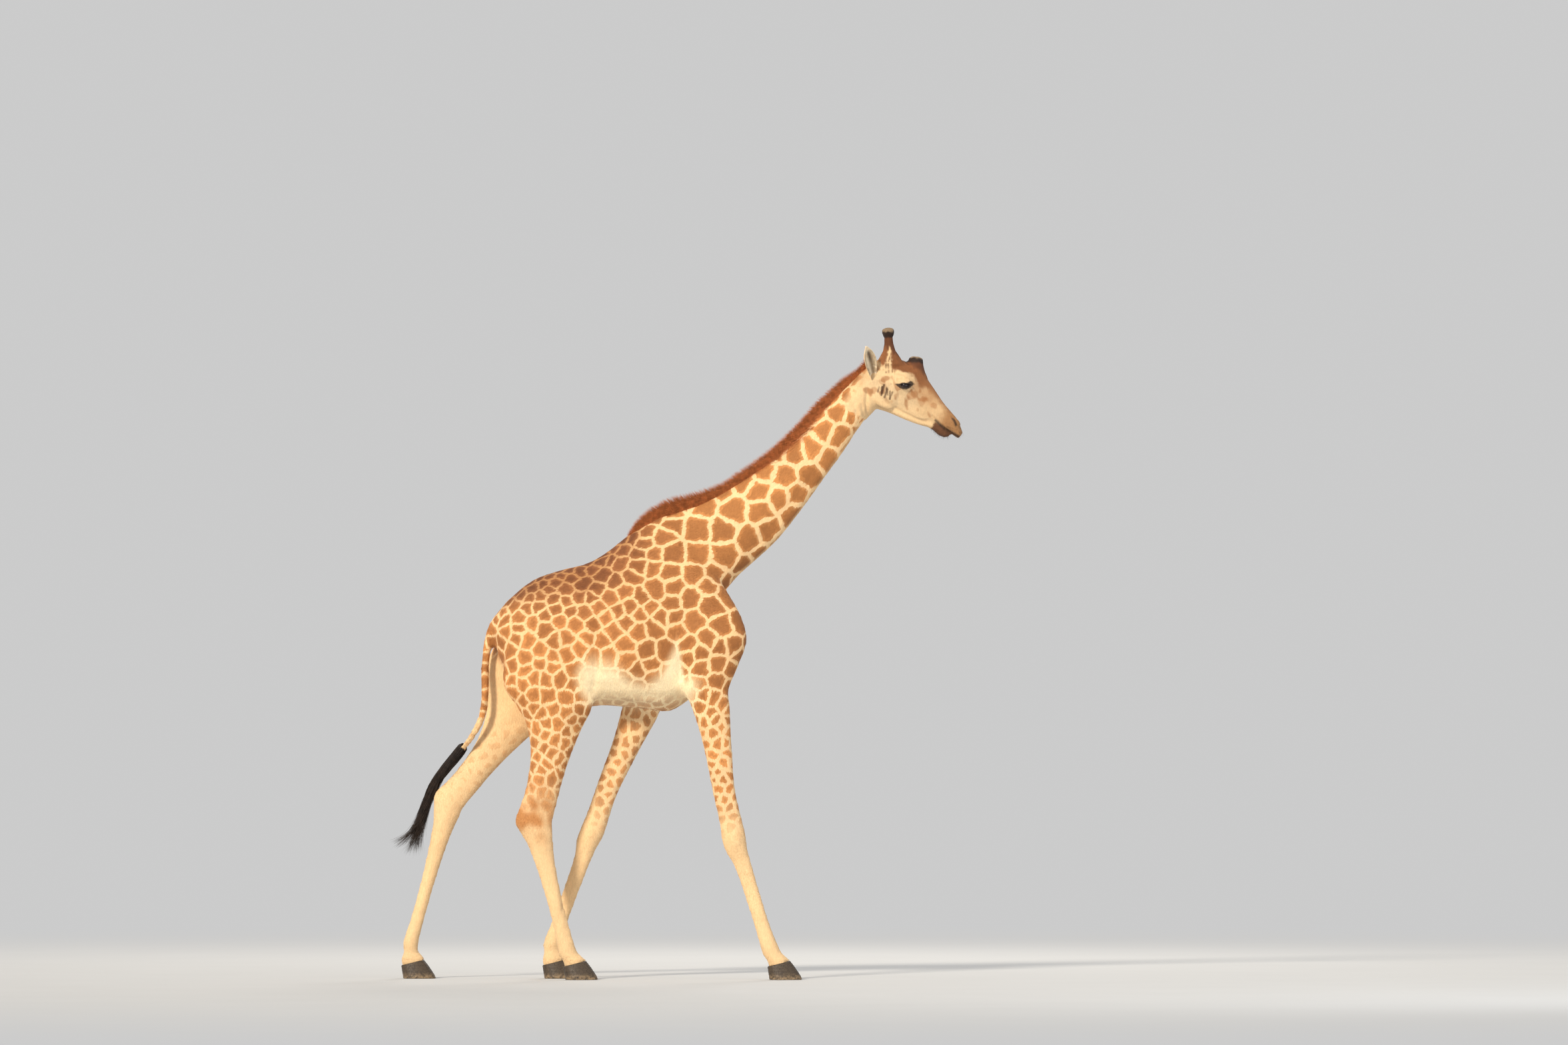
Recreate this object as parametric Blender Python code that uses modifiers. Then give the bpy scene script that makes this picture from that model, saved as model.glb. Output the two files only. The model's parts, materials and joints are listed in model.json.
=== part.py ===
"""A life-size walking giraffe: a young bull in mid stride, each named part of the body a closed solid.

Frame: metres, +X towards the muzzle, +Y to the animal's left, +Z up, the soles on Z = 0.

The flesh is modelled as lofts through named cross-sections: trunk, neck, head and four legs. The lofts are
fused into one smooth body, and thin cuts then part it into trunk, neck, head, legs and horns. Mane, tail,
tuft, ears, eyes and hooves are pieces of their own that meet the flesh with the same thin gap.
"""

import math
from typing import NamedTuple

import bmesh
import bpy
from mathutils import Matrix, Vector

# ---------------------------------------------------------------- driving sizes, in metres
GAP = 0.0004  # clearance between two neighbouring solids
BODY_VOXEL = 0.014  # fineness at which the body's lofts are fused
HEAD_VOXEL = 0.007  # fineness at which the head's lofts are fused
BODY_FACES = 3440  # triangles left in the fused body
HEAD_FACES = 1850  # triangles left in the fused head
RING_POINTS = 28  # points round one loft section
HOOF_POINTS = 18  # points round one hoof outline
SPAN_STEPS = 4  # rings from one given section to the next

HEAD_PITCH = math.radians(33.7)  # how far the muzzle points below the horizon
POLL = Vector((1.185, 0.0, 3.731))  # the head frame's origin, behind the ears
EYE_RADIUS = 0.027
EYE_PLACE = (0.222, 0.099, 0.052)  # along the head, out to the side, up, in the head's frame
HOOF_HEIGHT = 0.100  # height of the coronet above the floor, at the middle of the hoof
CORONET_SLOPE = math.radians(14)  # the coronet falls from the toe to the heel
CLEFT_WIDTH = 0.016  # between the two claws at the toe
CLEFT_LENGTH = 0.120
EAR_THICKNESS = 0.009
REACH = 0.9  # how far a cutting block runs out past the body


class Section(NamedTuple):
    """A cross-section that spans from an upper (or front) edge point to a lower (or rear) one."""

    upper: tuple  # x, z
    lower: tuple  # x, z
    half_width: float
    side: float = 0.0  # y of the section's centre
    egg: float = 0.0  # above 0, the section is wider towards its lower edge


TRUNK = [
    Section((-1.140, 2.220), (-1.100, 1.990), 0.080),
    Section((-1.030, 2.345), (-0.990, 1.780), 0.195),
    Section((-0.885, 2.460), (-0.825, 1.690), 0.258, egg=0.05),
    Section((-0.720, 2.520), (-0.640, 1.665), 0.282, egg=0.12),
    Section((-0.560, 2.560), (-0.455, 1.680), 0.298, egg=0.22),
    Section((-0.435, 2.630), (-0.310, 1.670), 0.303, egg=0.27),
    Section((-0.310, 2.730), (-0.170, 1.655), 0.290, egg=0.32),
    Section((-0.195, 2.800), (-0.045, 1.645), 0.262, egg=0.32),
    Section((-0.065, 2.860), (0.080, 1.720), 0.240, egg=0.27),
    Section((0.080, 2.790), (0.200, 1.845), 0.215, egg=0.20),
    Section((0.220, 2.540), (0.295, 1.930), 0.172, egg=0.10),
    Section((0.310, 2.320), (0.335, 2.090), 0.095),
]

NECK = [
    Section((-0.125, 2.810), (0.180, 2.235), 0.150, egg=0.25),
    Section((-0.005, 2.880), (0.275, 2.350), 0.142, egg=0.22),
    Section((0.140, 2.930), (0.370, 2.470), 0.128, egg=0.18),
    Section((0.295, 3.010), (0.500, 2.585), 0.115, egg=0.12),
    Section((0.445, 3.105), (0.635, 2.715), 0.105, egg=0.08),
    Section((0.590, 3.205), (0.770, 2.885), 0.096, egg=0.05),
    Section((0.735, 3.335), (0.910, 3.080), 0.089, egg=0.03),
    Section((0.860, 3.475), (1.030, 3.245), 0.084),
    Section((0.985, 3.600), (1.130, 3.400), 0.081),
    Section((1.080, 3.695), (1.197, 3.475), 0.084),
    Section((1.170, 3.770), (1.255, 3.545), 0.085),
]

# The head in its own frame: x along it from the poll to the muzzle, z up from its axis.
SKULL = [
    Section((-0.040, 0.060), (-0.010, -0.080), 0.060),
    Section((0.020, 0.112), (0.030, -0.120), 0.084, egg=-0.05),
    Section((0.085, 0.158), (0.090, -0.150), 0.094, egg=-0.15),
    Section((0.150, 0.183), (0.150, -0.163), 0.098, egg=-0.25),
    Section((0.210, 0.186), (0.210, -0.147), 0.097, egg=-0.30),
    Section((0.270, 0.180), (0.270, -0.134), 0.088, egg=-0.25),
    Section((0.340, 0.157), (0.340, -0.121), 0.073, egg=-0.15),
    Section((0.420, 0.124), (0.415, -0.104), 0.061, egg=-0.10),
    Section((0.490, 0.096), (0.480, -0.080), 0.056, egg=-0.05),
    Section((0.555, 0.078), (0.545, -0.034), 0.056),
    Section((0.605, 0.062), (0.595, -0.032), 0.056),
    Section((0.652, 0.034), (0.642, -0.036), 0.049),
    Section((0.684, 0.008), (0.680, -0.036), 0.034),
]

LOWER_LIP = [
    Section((0.450, -0.020), (0.450, -0.092), 0.043),
    Section((0.510, -0.030), (0.510, -0.078), 0.044),
    Section((0.560, -0.032), (0.560, -0.085), 0.043),
    Section((0.600, -0.036), (0.600, -0.079), 0.036),
    Section((0.625, -0.040), (0.622, -0.062), 0.022),
]


class Swelling(NamedTuple):
    """A rounded form on both sides of the head: centre and half sizes, in the head's frame."""

    centre: tuple  # along, out to the side, up
    half_sizes: tuple  # along, sideways, up


HEAD_SWELLINGS = {
    "orbit": Swelling((0.218, 0.086, 0.056), (0.058, 0.034, 0.042)),
    "brow": Swelling((0.185, 0.080, 0.100), (0.060, 0.028, 0.030)),
    "jaw_muscle": Swelling((0.150, 0.052, -0.050), (0.115, 0.042, 0.092)),
    "cheek": Swelling((0.350, 0.042, -0.020), (0.130, 0.026, 0.060)),
    "horn_seat": Swelling((0.080, 0.048, 0.100), (0.085, 0.042, 0.060)),
    "nostril_wing": Swelling((0.600, 0.034, 0.034), (0.048, 0.026, 0.028)),
    "lip_corner": Swelling((0.545, 0.040, -0.004), (0.060, 0.020, 0.036)),
}


class Horn(NamedTuple):
    """A skin-covered horn: base and tip in the head's frame, and its half depth and half width along it."""

    base: tuple
    tip: tuple
    profile: tuple  # (share of the length, half depth, half width)


PAIRED_HORN = Horn(
    base=(0.078, 0.050, 0.108),
    tip=(-0.055, 0.078, 0.286),
    profile=(
        (0.00, 0.090, 0.046),
        (0.20, 0.066, 0.043),
        (0.38, 0.042, 0.036),
        (0.58, 0.030, 0.029),
        (0.78, 0.027, 0.027),
        (0.90, 0.035, 0.034),
        (0.97, 0.034, 0.033),
        (1.03, 0.018, 0.018),
    ),
)

MIDDLE_HORN = Horn(
    base=(0.243, 0.0, 0.130),
    tip=(0.184, 0.0, 0.240),
    profile=(
        (0.00, 0.085, 0.070),
        (0.35, 0.062, 0.060),
        (0.65, 0.050, 0.052),
        (0.90, 0.044, 0.044),
        (1.02, 0.024, 0.024),
    ),
)


class Thickness(NamedTuple):
    """How thick a leg is at one place. The whole numbers of `along` are the joints, counted from the top."""

    along: float
    front: float
    rear: float
    half_width: float


# Along a foreleg: 0 scapula, 1 shoulder, 2 elbow, 3 knee, 4 fetlock, 5 coronet.
FORELEG = [
    Thickness(0.00, 0.080, 0.080, 0.050),
    Thickness(0.50, 0.140, 0.200, 0.088),
    Thickness(1.00, 0.108, 0.340, 0.112),
    Thickness(1.50, 0.140, 0.270, 0.106),
    Thickness(2.00, 0.155, 0.155, 0.090),
    Thickness(2.15, 0.135, 0.110, 0.077),
    Thickness(2.40, 0.100, 0.083, 0.064),
    Thickness(2.70, 0.068, 0.080, 0.055),
    Thickness(2.88, 0.072, 0.074, 0.056),
    Thickness(3.00, 0.078, 0.080, 0.066),
    Thickness(3.10, 0.062, 0.080, 0.060),
    Thickness(3.25, 0.054, 0.058, 0.046),
    Thickness(3.55, 0.046, 0.056, 0.041),
    Thickness(3.85, 0.044, 0.060, 0.045),
    Thickness(4.00, 0.050, 0.066, 0.056),
    Thickness(4.40, 0.048, 0.056, 0.050),
    Thickness(5.00, 0.062, 0.060, 0.056),
]

# Along a hind leg: 0 hip, 1 stifle, 2 hock, 3 fetlock, 4 coronet.
HINDLEG = [
    Thickness(0.00, 0.190, 0.150, 0.100),
    Thickness(0.50, 0.290, 0.310, 0.135),
    Thickness(1.00, 0.185, 0.300, 0.116),
    Thickness(1.20, 0.150, 0.205, 0.092),
    Thickness(1.45, 0.118, 0.135, 0.074),
    Thickness(1.70, 0.110, 0.110, 0.061),
    Thickness(1.90, 0.112, 0.118, 0.056),
    Thickness(2.00, 0.112, 0.130, 0.062),
    Thickness(2.08, 0.098, 0.110, 0.061),
    Thickness(2.18, 0.080, 0.083, 0.055),
    Thickness(2.33, 0.063, 0.068, 0.047),
    Thickness(2.60, 0.050, 0.056, 0.043),
    Thickness(2.85, 0.048, 0.058, 0.045),
    Thickness(3.00, 0.052, 0.066, 0.055),
    Thickness(3.40, 0.048, 0.056, 0.050),
    Thickness(4.00, 0.062, 0.060, 0.056),
]


class Leg(NamedTuple):
    """One leg's pose: its joints from the top down as (x, y, z), and the outline in X and Z that holds it."""

    profile: list
    joints: tuple
    outline: tuple
    girth: float = 1.0  # below 1, a leg stretched back and so slimmer in side view


# Negative y is the animal's right side.
LEGS = {
    "foreleg_right": Leg(
        FORELEG,
        (
            (-0.045, -0.098, 2.665),
            (0.325, -0.162, 2.130),
            (0.170, -0.160, 1.805),
            (0.350, -0.130, 0.877),
            (0.580, -0.130, 0.190),
            (0.632, -0.130, 0.090),
        ),
        ((-0.016, 1.755), (0.377, 1.905), (0.467, 1.905), (0.880, -0.100), (-0.060, -0.100)),
    ),
    "foreleg_left": Leg(
        FORELEG,
        (
            (-0.105, 0.098, 2.665),
            (0.200, 0.162, 2.110),
            (-0.195, 0.163, 1.785),
            (-0.525, 0.165, 0.900),
            (-0.765, 0.190, 0.210),
            (-0.760, 0.192, 0.090),
        ),
        (
            (-0.455, 1.715),
            (-0.025, 1.715),
            (-0.005, 1.515),
            (-0.400, -0.100),
            (-1.000, -0.100),
            (-0.640, 1.310),
        ),
    ),
    "hindleg_right": Leg(
        HINDLEG,
        (
            (-0.885, -0.130, 2.195),
            (-0.690, -0.160, 1.700),
            (-0.873, -0.140, 0.972),
            (-0.668, -0.140, 0.182),
            (-0.622, -0.140, 0.090),
        ),
        ((-1.230, 2.120), (-0.440, 1.755), (-0.440, -0.100), (-1.230, -0.100)),
    ),
    "hindleg_left": Leg(
        HINDLEG,
        (
            (-0.905, 0.130, 2.195),
            (-0.938, 0.165, 1.652),
            (-1.400, 0.160, 1.095),
            (-1.638, 0.185, 0.215),
            (-1.630, 0.187, 0.090),
        ),
        (
            (-1.300, 2.120),
            (-0.520, 1.740),
            (-0.640, 1.515),
            (-1.296, 0.900),
            (-1.400, -0.100),
            (-1.900, -0.100),
            (-1.950, 2.120),
        ),
        girth=0.86,
    ),
}
LEG_INSIDE = 0.030  # the trunk keeps this half width between two legs
LEG_RISE = 0.110  # how far a leg's cut rises on the outside

HEAD_CUT = ((1.095, 3.760), (1.189, 3.465))  # the cut from nape to throat, in x and z
NECK_CUT = ((-0.127, 2.890), (0.312, 2.366))  # the cut from withers to chest, in x and z
HORN_CUTS = {"paired": 0.40, "middle": 0.42}  # where a horn is cut, as a share of its length

HOOF = (  # height share, half length, half width, how far its middle is ahead of the coronet's
    (0.00, 0.098, 0.071, 0.042),
    (0.06, 0.101, 0.074, 0.041),
    (0.45, 0.088, 0.069, 0.024),
    (0.80, 0.076, 0.063, 0.008),
    (1.00, 0.067, 0.058, 0.000),
)

MANE = [
    Section((-0.300, 2.748), (-0.262, 2.690), 0.010),
    Section((-0.209, 2.850), (-0.160, 2.758), 0.018),
    Section((-0.066, 2.923), (-0.036, 2.816), 0.022),
    Section((0.098, 2.964), (0.126, 2.858), 0.023),
    Section((0.262, 3.026), (0.300, 2.926), 0.023),
    Section((0.385, 3.108), (0.436, 3.012), 0.023),
    Section((0.549, 3.231), (0.611, 3.141), 0.023),
    Section((0.713, 3.383), (0.782, 3.301), 0.023),
    Section((0.857, 3.547), (0.929, 3.468), 0.022),
    Section((1.013, 3.702), (1.082, 3.620), 0.021),
    Section((1.092, 3.757), (1.150, 3.680), 0.018),
    Section((1.148, 3.815), (1.190, 3.755), 0.010),
]

TAIL = (  # centre, half depth, half width
    ((-1.075, 0.000, 2.215), 0.050, 0.060),
    ((-1.128, 0.000, 2.165), 0.036, 0.046),
    ((-1.165, 0.000, 2.060), 0.029, 0.034),
    ((-1.180, 0.000, 1.930), 0.025, 0.028),
    ((-1.181, 0.002, 1.770), 0.022, 0.024),
    ((-1.190, 0.008, 1.660), 0.021, 0.022),
    ((-1.216, 0.026, 1.575), 0.020, 0.020),
    ((-1.268, 0.066, 1.485), 0.018, 0.018),
    ((-1.322, 0.122, 1.415), 0.016, 0.016),
)

TUFT_LOCKS = {  # the long hair at the tail's end: centre, half depth, half width
    "main": (
        ((-1.328, 0.128, 1.407), 0.018, 0.018),
        ((-1.380, 0.165, 1.345), 0.036, 0.030),
        ((-1.450, 0.195, 1.265), 0.042, 0.036),
        ((-1.510, 0.210, 1.180), 0.040, 0.038),
        ((-1.545, 0.215, 1.080), 0.038, 0.040),
        ((-1.572, 0.220, 0.970), 0.044, 0.040),
        ((-1.590, 0.222, 0.870), 0.034, 0.032),
        ((-1.590, 0.222, 0.770), 0.012, 0.012),
    ),
    "hind": (
        ((-1.535, 0.212, 1.120), 0.036, 0.030),
        ((-1.590, 0.222, 0.980), 0.034, 0.028),
        ((-1.650, 0.236, 0.880), 0.024, 0.022),
        ((-1.725, 0.252, 0.815), 0.009, 0.009),
    ),
    "middle": (
        ((-1.565, 0.214, 1.020), 0.034, 0.034),
        ((-1.610, 0.222, 0.890), 0.028, 0.028),
        ((-1.648, 0.226, 0.760), 0.009, 0.009),
    ),
}


class EarStation(NamedTuple):
    """A place along an ear: its width, how deep its cup is, and how far its rim leans."""

    along: float
    width: float
    depth: float


EAR_BASE = (1.204, 0.080, 3.704)  # for the left ear
EAR_TIP = (1.163, 0.196, 3.886)
EAR_OPENING = (0.55, 0.80, -0.05)  # the way the cup faces, for the left ear
EAR = [
    EarStation(0.00, 0.034, 0.016),
    EarStation(0.10, 0.044, 0.020),
    EarStation(0.25, 0.066, 0.025),
    EarStation(0.42, 0.084, 0.027),
    EarStation(0.60, 0.086, 0.023),
    EarStation(0.78, 0.068, 0.015),
    EarStation(0.92, 0.034, 0.007),
    EarStation(1.00, 0.012, 0.002),
]

COLOURS = {  # base colour, roughness
    "coat": ((0.62, 0.36, 0.17), 0.75),
    "mane": ((0.30, 0.10, 0.03), 0.80),
    "tuft": ((0.025, 0.016, 0.012), 0.60),
    "hoof": ((0.09, 0.07, 0.055), 0.55),
    "eye": ((0.015, 0.009, 0.006), 0.12),
    "horn": ((0.24, 0.10, 0.04), 0.75),
}


# ---------------------------------------------------------------- scene helpers
def clear_scene():
    """Removes every object, so that the script starts from nothing."""
    for old in list(bpy.data.objects):
        bpy.data.objects.remove(old, do_unlink=True)


def new_collection(name):
    """A collection of this name, linked into the scene."""
    made = bpy.data.collections.new(name)
    bpy.context.scene.collection.children.link(made)
    return made


def material(name):
    """The material of this name, made once from COLOURS."""
    found = bpy.data.materials.get(name)
    if found:
        return found
    made = bpy.data.materials.new(name)
    made.use_nodes = True
    shader = made.node_tree.nodes["Principled BSDF"]
    colour, roughness = COLOURS[name]
    shader.inputs["Base Color"].default_value = (*colour, 1.0)
    shader.inputs["Roughness"].default_value = roughness
    shader.inputs["Metallic"].default_value = 0.0
    return made


def object_of(bm, name, collection):
    """Turns a bmesh into a linked object and frees the bmesh."""
    mesh = bpy.data.meshes.new(name)
    bmesh.ops.recalc_face_normals(bm, faces=bm.faces)
    bm.to_mesh(mesh)
    bm.free()
    made = bpy.data.objects.new(name, mesh)
    collection.objects.link(made)
    return made


def baked(obj):
    """Applies the object's modifiers, so that its mesh holds the result."""
    bpy.context.view_layer.update()
    graph = bpy.context.evaluated_depsgraph_get()
    mesh = bpy.data.meshes.new_from_object(obj.evaluated_get(graph))
    obj.modifiers.clear()
    obj.data = mesh
    return obj


def boolean(obj, other, operation):
    """Joins, cuts or keeps obj where it meets other, with the exact solver."""
    modifier = obj.modifiers.new(operation.title(), "BOOLEAN")
    modifier.operation = operation
    modifier.solver = "EXACT"
    modifier.object = other
    return baked(obj)


def copy_of(obj, name):
    """A second object with its own copy of obj's mesh."""
    made = bpy.data.objects.new(name, obj.data.copy())
    obj.users_collection[0].objects.link(made)
    return made


def swollen(obj, name, by):
    """A copy of obj whose surface stands out by the given distance, to cut its neighbours with."""
    made = copy_of(obj, name)
    displace = made.modifiers.new("Swell", "DISPLACE")
    displace.strength = by
    displace.mid_level = 0.0
    return baked(made)


# ---------------------------------------------------------------- lofts
def catmull_rom(a, b, c, d, share):
    """The value at this share of the way from b to c, on a smooth curve through all four."""
    return 0.5 * (
        2 * b + (c - a) * share + (2 * a - 5 * b + 4 * c - d) * share**2 + (3 * b - a - 3 * c + d) * share**3
    )


def densified(rows):
    """Rows of numbers with SPAN_STEPS smooth steps from each given row to the next."""
    rows = [Vector(row) for row in rows]
    result = []
    for i in range(len(rows) - 1):
        a, b, c, d = rows[max(i - 1, 0)], rows[i], rows[i + 1], rows[min(i + 2, len(rows) - 1)]
        result += [catmull_rom(a, b, c, d, step / SPAN_STEPS) for step in range(SPAN_STEPS)]
    return result + [rows[-1]]


def section_ring(row):
    """The points round one section, given as upper x z, lower x z, half width, side, egg."""
    upper, lower = Vector((row[0], 0, row[1])), Vector((row[2], 0, row[3]))
    half_width, side, egg = row[4], row[5], row[6]
    centre, reach = (upper + lower) / 2, (upper - lower) / 2
    points = []
    for i in range(RING_POINTS):
        turn = 2 * math.pi * i / RING_POINTS
        height = math.cos(turn)
        out = half_width * math.sin(turn) * (1 - egg * height)
        points.append(centre + reach * height + Vector((0, side + out, 0)))
    return points


def loft(name, sections, collection, place=None):
    """A closed skin through the sections in order, with a cap at each end."""
    rows = [(*s.upper, *s.lower, s.half_width, s.side, s.egg) for s in sections]
    bm = bmesh.new()
    rings = []
    for row in densified(rows):
        rings.append([bm.verts.new(point) for point in section_ring(row)])
    for ring, following in zip(rings, rings[1:], strict=False):
        for i in range(RING_POINTS):
            j = (i + 1) % RING_POINTS
            bm.faces.new((ring[i], ring[j], following[j], following[i]))
    bm.faces.new(rings[0])
    bm.faces.new(rings[-1])
    if place:
        bm.transform(place)
    return object_of(bm, name, collection)


def leg_sections(leg):
    """The sections of a leg: its thickness profile laid along its posed joints."""
    joints = [Vector(joint) for joint in leg.joints]
    joints[-1] += (joints[-1] - joints[-2]) * 0.7  # runs on past the coronet, where a cut ends it
    bones = [(b - a).normalized() for a, b in zip(joints, joints[1:], strict=False)]
    ends = [bones[0], *[(a + b).normalized() for a, b in zip(bones, bones[1:], strict=False)], bones[-1]]
    sections = []
    for spot in leg.profile:
        i = min(int(spot.along), len(bones) - 1)
        share = spot.along - i
        if share < 0.5:
            lie = ends[i].lerp(bones[i], share * 2)
        else:
            lie = bones[i].lerp(ends[i + 1], share * 2 - 1)
        forward = Vector((-lie.z, 0, lie.x)).normalized()
        centre = joints[i].lerp(joints[i + 1], share)
        front = centre + forward * spot.front * leg.girth
        rear = centre - forward * spot.rear * leg.girth
        sections.append(Section((front.x, front.z), (rear.x, rear.z), spot.half_width, centre.y))
    return sections


def round_loft(name, spots, collection, ring_points=14):
    """A closed tube through (centre, along-depth radius, sideways radius) spots, which may bend in space."""
    rows = densified([(*centre, depth, width) for centre, depth, width in spots])
    centres = [row.to_3d() if len(row) == 3 else Vector(row[:3]) for row in rows]
    bm = bmesh.new()
    rings = []
    for i, row in enumerate(rows):
        lie = (centres[min(i + 1, len(rows) - 1)] - centres[max(i - 1, 0)]).normalized()
        sideways = (Vector((0, 1, 0)) - lie * lie.y).normalized()
        across = sideways.cross(lie).normalized()
        ring = []
        for k in range(ring_points):
            turn = 2 * math.pi * k / ring_points
            offset = across * (row[3] * math.cos(turn)) + sideways * (row[4] * math.sin(turn))
            ring.append(bm.verts.new(centres[i] + offset))
        rings.append(ring)
    for ring, following in zip(rings, rings[1:], strict=False):
        for k in range(ring_points):
            m = (k + 1) % ring_points
            bm.faces.new((ring[k], ring[m], following[m], following[k]))
    bm.faces.new(rings[0])
    bm.faces.new(rings[-1])
    return object_of(bm, name, collection)


def ellipsoid(name, centre, half_sizes, collection, place):
    """A stretched sphere, placed by a matrix."""
    bm = bmesh.new()
    shape = place @ Matrix.Translation(centre) @ Matrix.Diagonal((*half_sizes, 1))
    bmesh.ops.create_uvsphere(bm, u_segments=24, v_segments=14, radius=1, matrix=shape)
    return object_of(bm, name, collection)


def lightened(obj, faces):
    """Leaves the object about this many triangles."""
    triangles = sum(len(face.vertices) - 2 for face in obj.data.polygons)
    decimate = obj.modifiers.new("Lighten", "DECIMATE")
    decimate.ratio = min(1.0, faces / triangles)
    decimate.use_collapse_triangulate = True
    return baked(obj)


def fused(name, pieces, voxel, smoothing, faces, collection):
    """The pieces joined into one smooth closed mesh with about this many triangles."""
    bm = bmesh.new()
    for piece in pieces:
        bm.from_mesh(piece.data)
        bpy.data.objects.remove(piece)
    body = object_of(bm, name, collection)
    remesh = body.modifiers.new("Fuse", "REMESH")
    remesh.mode = "VOXEL"
    remesh.voxel_size = voxel
    smooth = body.modifiers.new("Soften", "SMOOTH")
    smooth.factor = 0.5
    smooth.iterations = smoothing
    return lightened(baked(body), faces)


# ---------------------------------------------------------------- cuts
def hidden(cutter):
    """Keeps a cutter out of the render and the viewport's solids."""
    cutter.hide_render = True
    cutter.display_type = "WIRE"
    return cutter


def prism(name, outline, near, far, collection, rise=0.0):
    """A prism over an outline in X and Z, from one y to another. Its upper points rise towards the far side."""
    middle = (min(z for _, z in outline) + max(z for _, z in outline)) / 2
    bm = bmesh.new()
    sides = []
    for y, lift in ((near, 0.0), (far, rise)):
        sides.append([bm.verts.new((x, y, z + lift * (z > middle))) for x, z in outline])
    bm.faces.new(sides[0])
    bm.faces.new(sides[1])
    for i in range(len(outline)):
        j = (i + 1) % len(outline)
        bm.faces.new((sides[0][i], sides[0][j], sides[1][j], sides[1][i]))
    return hidden(object_of(bm, name, collection))


def beyond(name, line, collection):
    """A block that holds everything ahead of a line in X and Z, with its rear face on the line."""
    upper, lower = Vector(line[0]), Vector(line[1])
    along = (lower - upper).normalized()
    ahead = Vector((-along.y, along.x))
    start, end = upper - along * REACH, lower + along * REACH
    outline = [start, end, end + ahead * 3 * REACH, start + ahead * 3 * REACH]
    return prism(name, [tuple(point) for point in outline], -REACH, REACH, collection)


def column(name, start, end, radius, collection):
    """A round column from one point to another."""
    start, end = Vector(start), Vector(end)
    length = (end - start).length
    turn = (end - start).to_track_quat("Z", "Y").to_matrix().to_4x4()
    shape = Matrix.Translation((start + end) / 2) @ turn
    bm = bmesh.new()
    bmesh.ops.create_cone(
        bm, cap_ends=True, segments=24, radius1=radius, radius2=radius, depth=length, matrix=shape
    )
    return hidden(object_of(bm, name, collection))


def grown(cutter, by):
    """A copy of a cutter with each of its faces moved out by the given distance."""
    made = hidden(copy_of(cutter, cutter.name + "_grown"))
    bm = bmesh.new()
    bm.from_mesh(made.data)
    bm.normal_update()
    moves = [vertex.normal * vertex.calc_shell_factor() * by for vertex in bm.verts]
    for vertex, move in zip(bm.verts, moves, strict=True):
        vertex.co += move
    bm.to_mesh(made.data)
    bm.free()
    return made


def parted(body, cutter, name):
    """Takes what lies in the cutter off the body, as an object of its own, and leaves a thin gap."""
    piece = copy_of(body, name)
    piece = keep_largest(boolean(piece, cutter, "INTERSECT"))
    keep_largest(boolean(body, grown(cutter, GAP), "DIFFERENCE"))
    return piece


def trimmed(piece, neighbours):
    """The piece less its neighbours and a thin gap round them."""
    for neighbour in neighbours:
        tool = swollen(neighbour, neighbour.name + "_tool", GAP)
        boolean(piece, tool, "DIFFERENCE")
        bpy.data.objects.remove(tool)
    return keep_largest(piece)


def keep_largest(obj):
    """Drops the crumbs that a cut can leave beside the main body."""
    bm = bmesh.new()
    bm.from_mesh(obj.data)
    left = set(bm.verts)
    shells = []
    while left:
        shell, front = set(), [left.pop()]
        while front:
            vertex = front.pop()
            shell.add(vertex)
            for edge in vertex.link_edges:
                other = edge.other_vert(vertex)
                if other in left:
                    left.remove(other)
                    front.append(other)
        shells.append(shell)
    shells.sort(key=len)
    bmesh.ops.delete(bm, geom=[v for shell in shells[:-1] for v in shell], context="VERTS")
    bm.to_mesh(obj.data)
    bm.free()
    return obj


def dressed(obj, finish):
    """Gives the object its material and smooth shading that stays sharp at the cuts."""
    obj.data.materials.clear()
    obj.data.materials.append(material(finish))
    obj.data.shade_smooth()
    obj.data.set_sharp_from_angle(angle=math.radians(50))
    return obj


# ---------------------------------------------------------------- the animal
def head_frame():
    """The matrix from the head's own frame to the model's."""
    return Matrix.Translation(POLL) @ Matrix.Rotation(HEAD_PITCH, 4, "Y")


def body_lofts(collection):
    """Trunk, neck and legs, as lofts that run into each other."""
    lofts = [loft("trunk_loft", TRUNK, collection), loft("neck_loft", NECK, collection)]
    for name, leg in LEGS.items():
        lofts.append(loft(name + "_loft", leg_sections(leg), collection))
    return lofts


def horn_ends(horn, side):
    """A horn's base and tip in the model's frame, on one side of the head (0 for the middle horn)."""
    ends = []
    for along, out, up in (horn.base, horn.tip):
        ends.append(head_frame() @ Vector((along, out * side, up)))
    return ends


def horn_loft(name, horn, side, collection):
    """A horn's loft, which starts inside the skull."""
    base, tip = horn_ends(horn, side)
    spots = [(base.lerp(tip, share), depth, width) for share, depth, width in horn.profile]
    return round_loft(name, spots, collection, 20)


def head_lofts(collection):
    """Skull, lips, swellings, horns and the upper neck, as shapes that run into each other."""
    place = head_frame()
    shapes = [
        loft("skull_loft", SKULL, collection, place),
        loft("lower_lip_loft", LOWER_LIP, collection, place),
        loft("nape_loft", NECK[-5:], collection),
    ]
    for label, swelling in HEAD_SWELLINGS.items():
        for side in (-1, 1):
            along, out, up = swelling.centre
            shapes.append(ellipsoid(label, (along, out * side, up), swelling.half_sizes, collection, place))
    shapes += [horn_loft("horn", PAIRED_HORN, side, collection) for side in (-1, 1)]
    shapes.append(horn_loft("horn_middle", MIDDLE_HORN, 0, collection))
    return shapes


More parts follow.
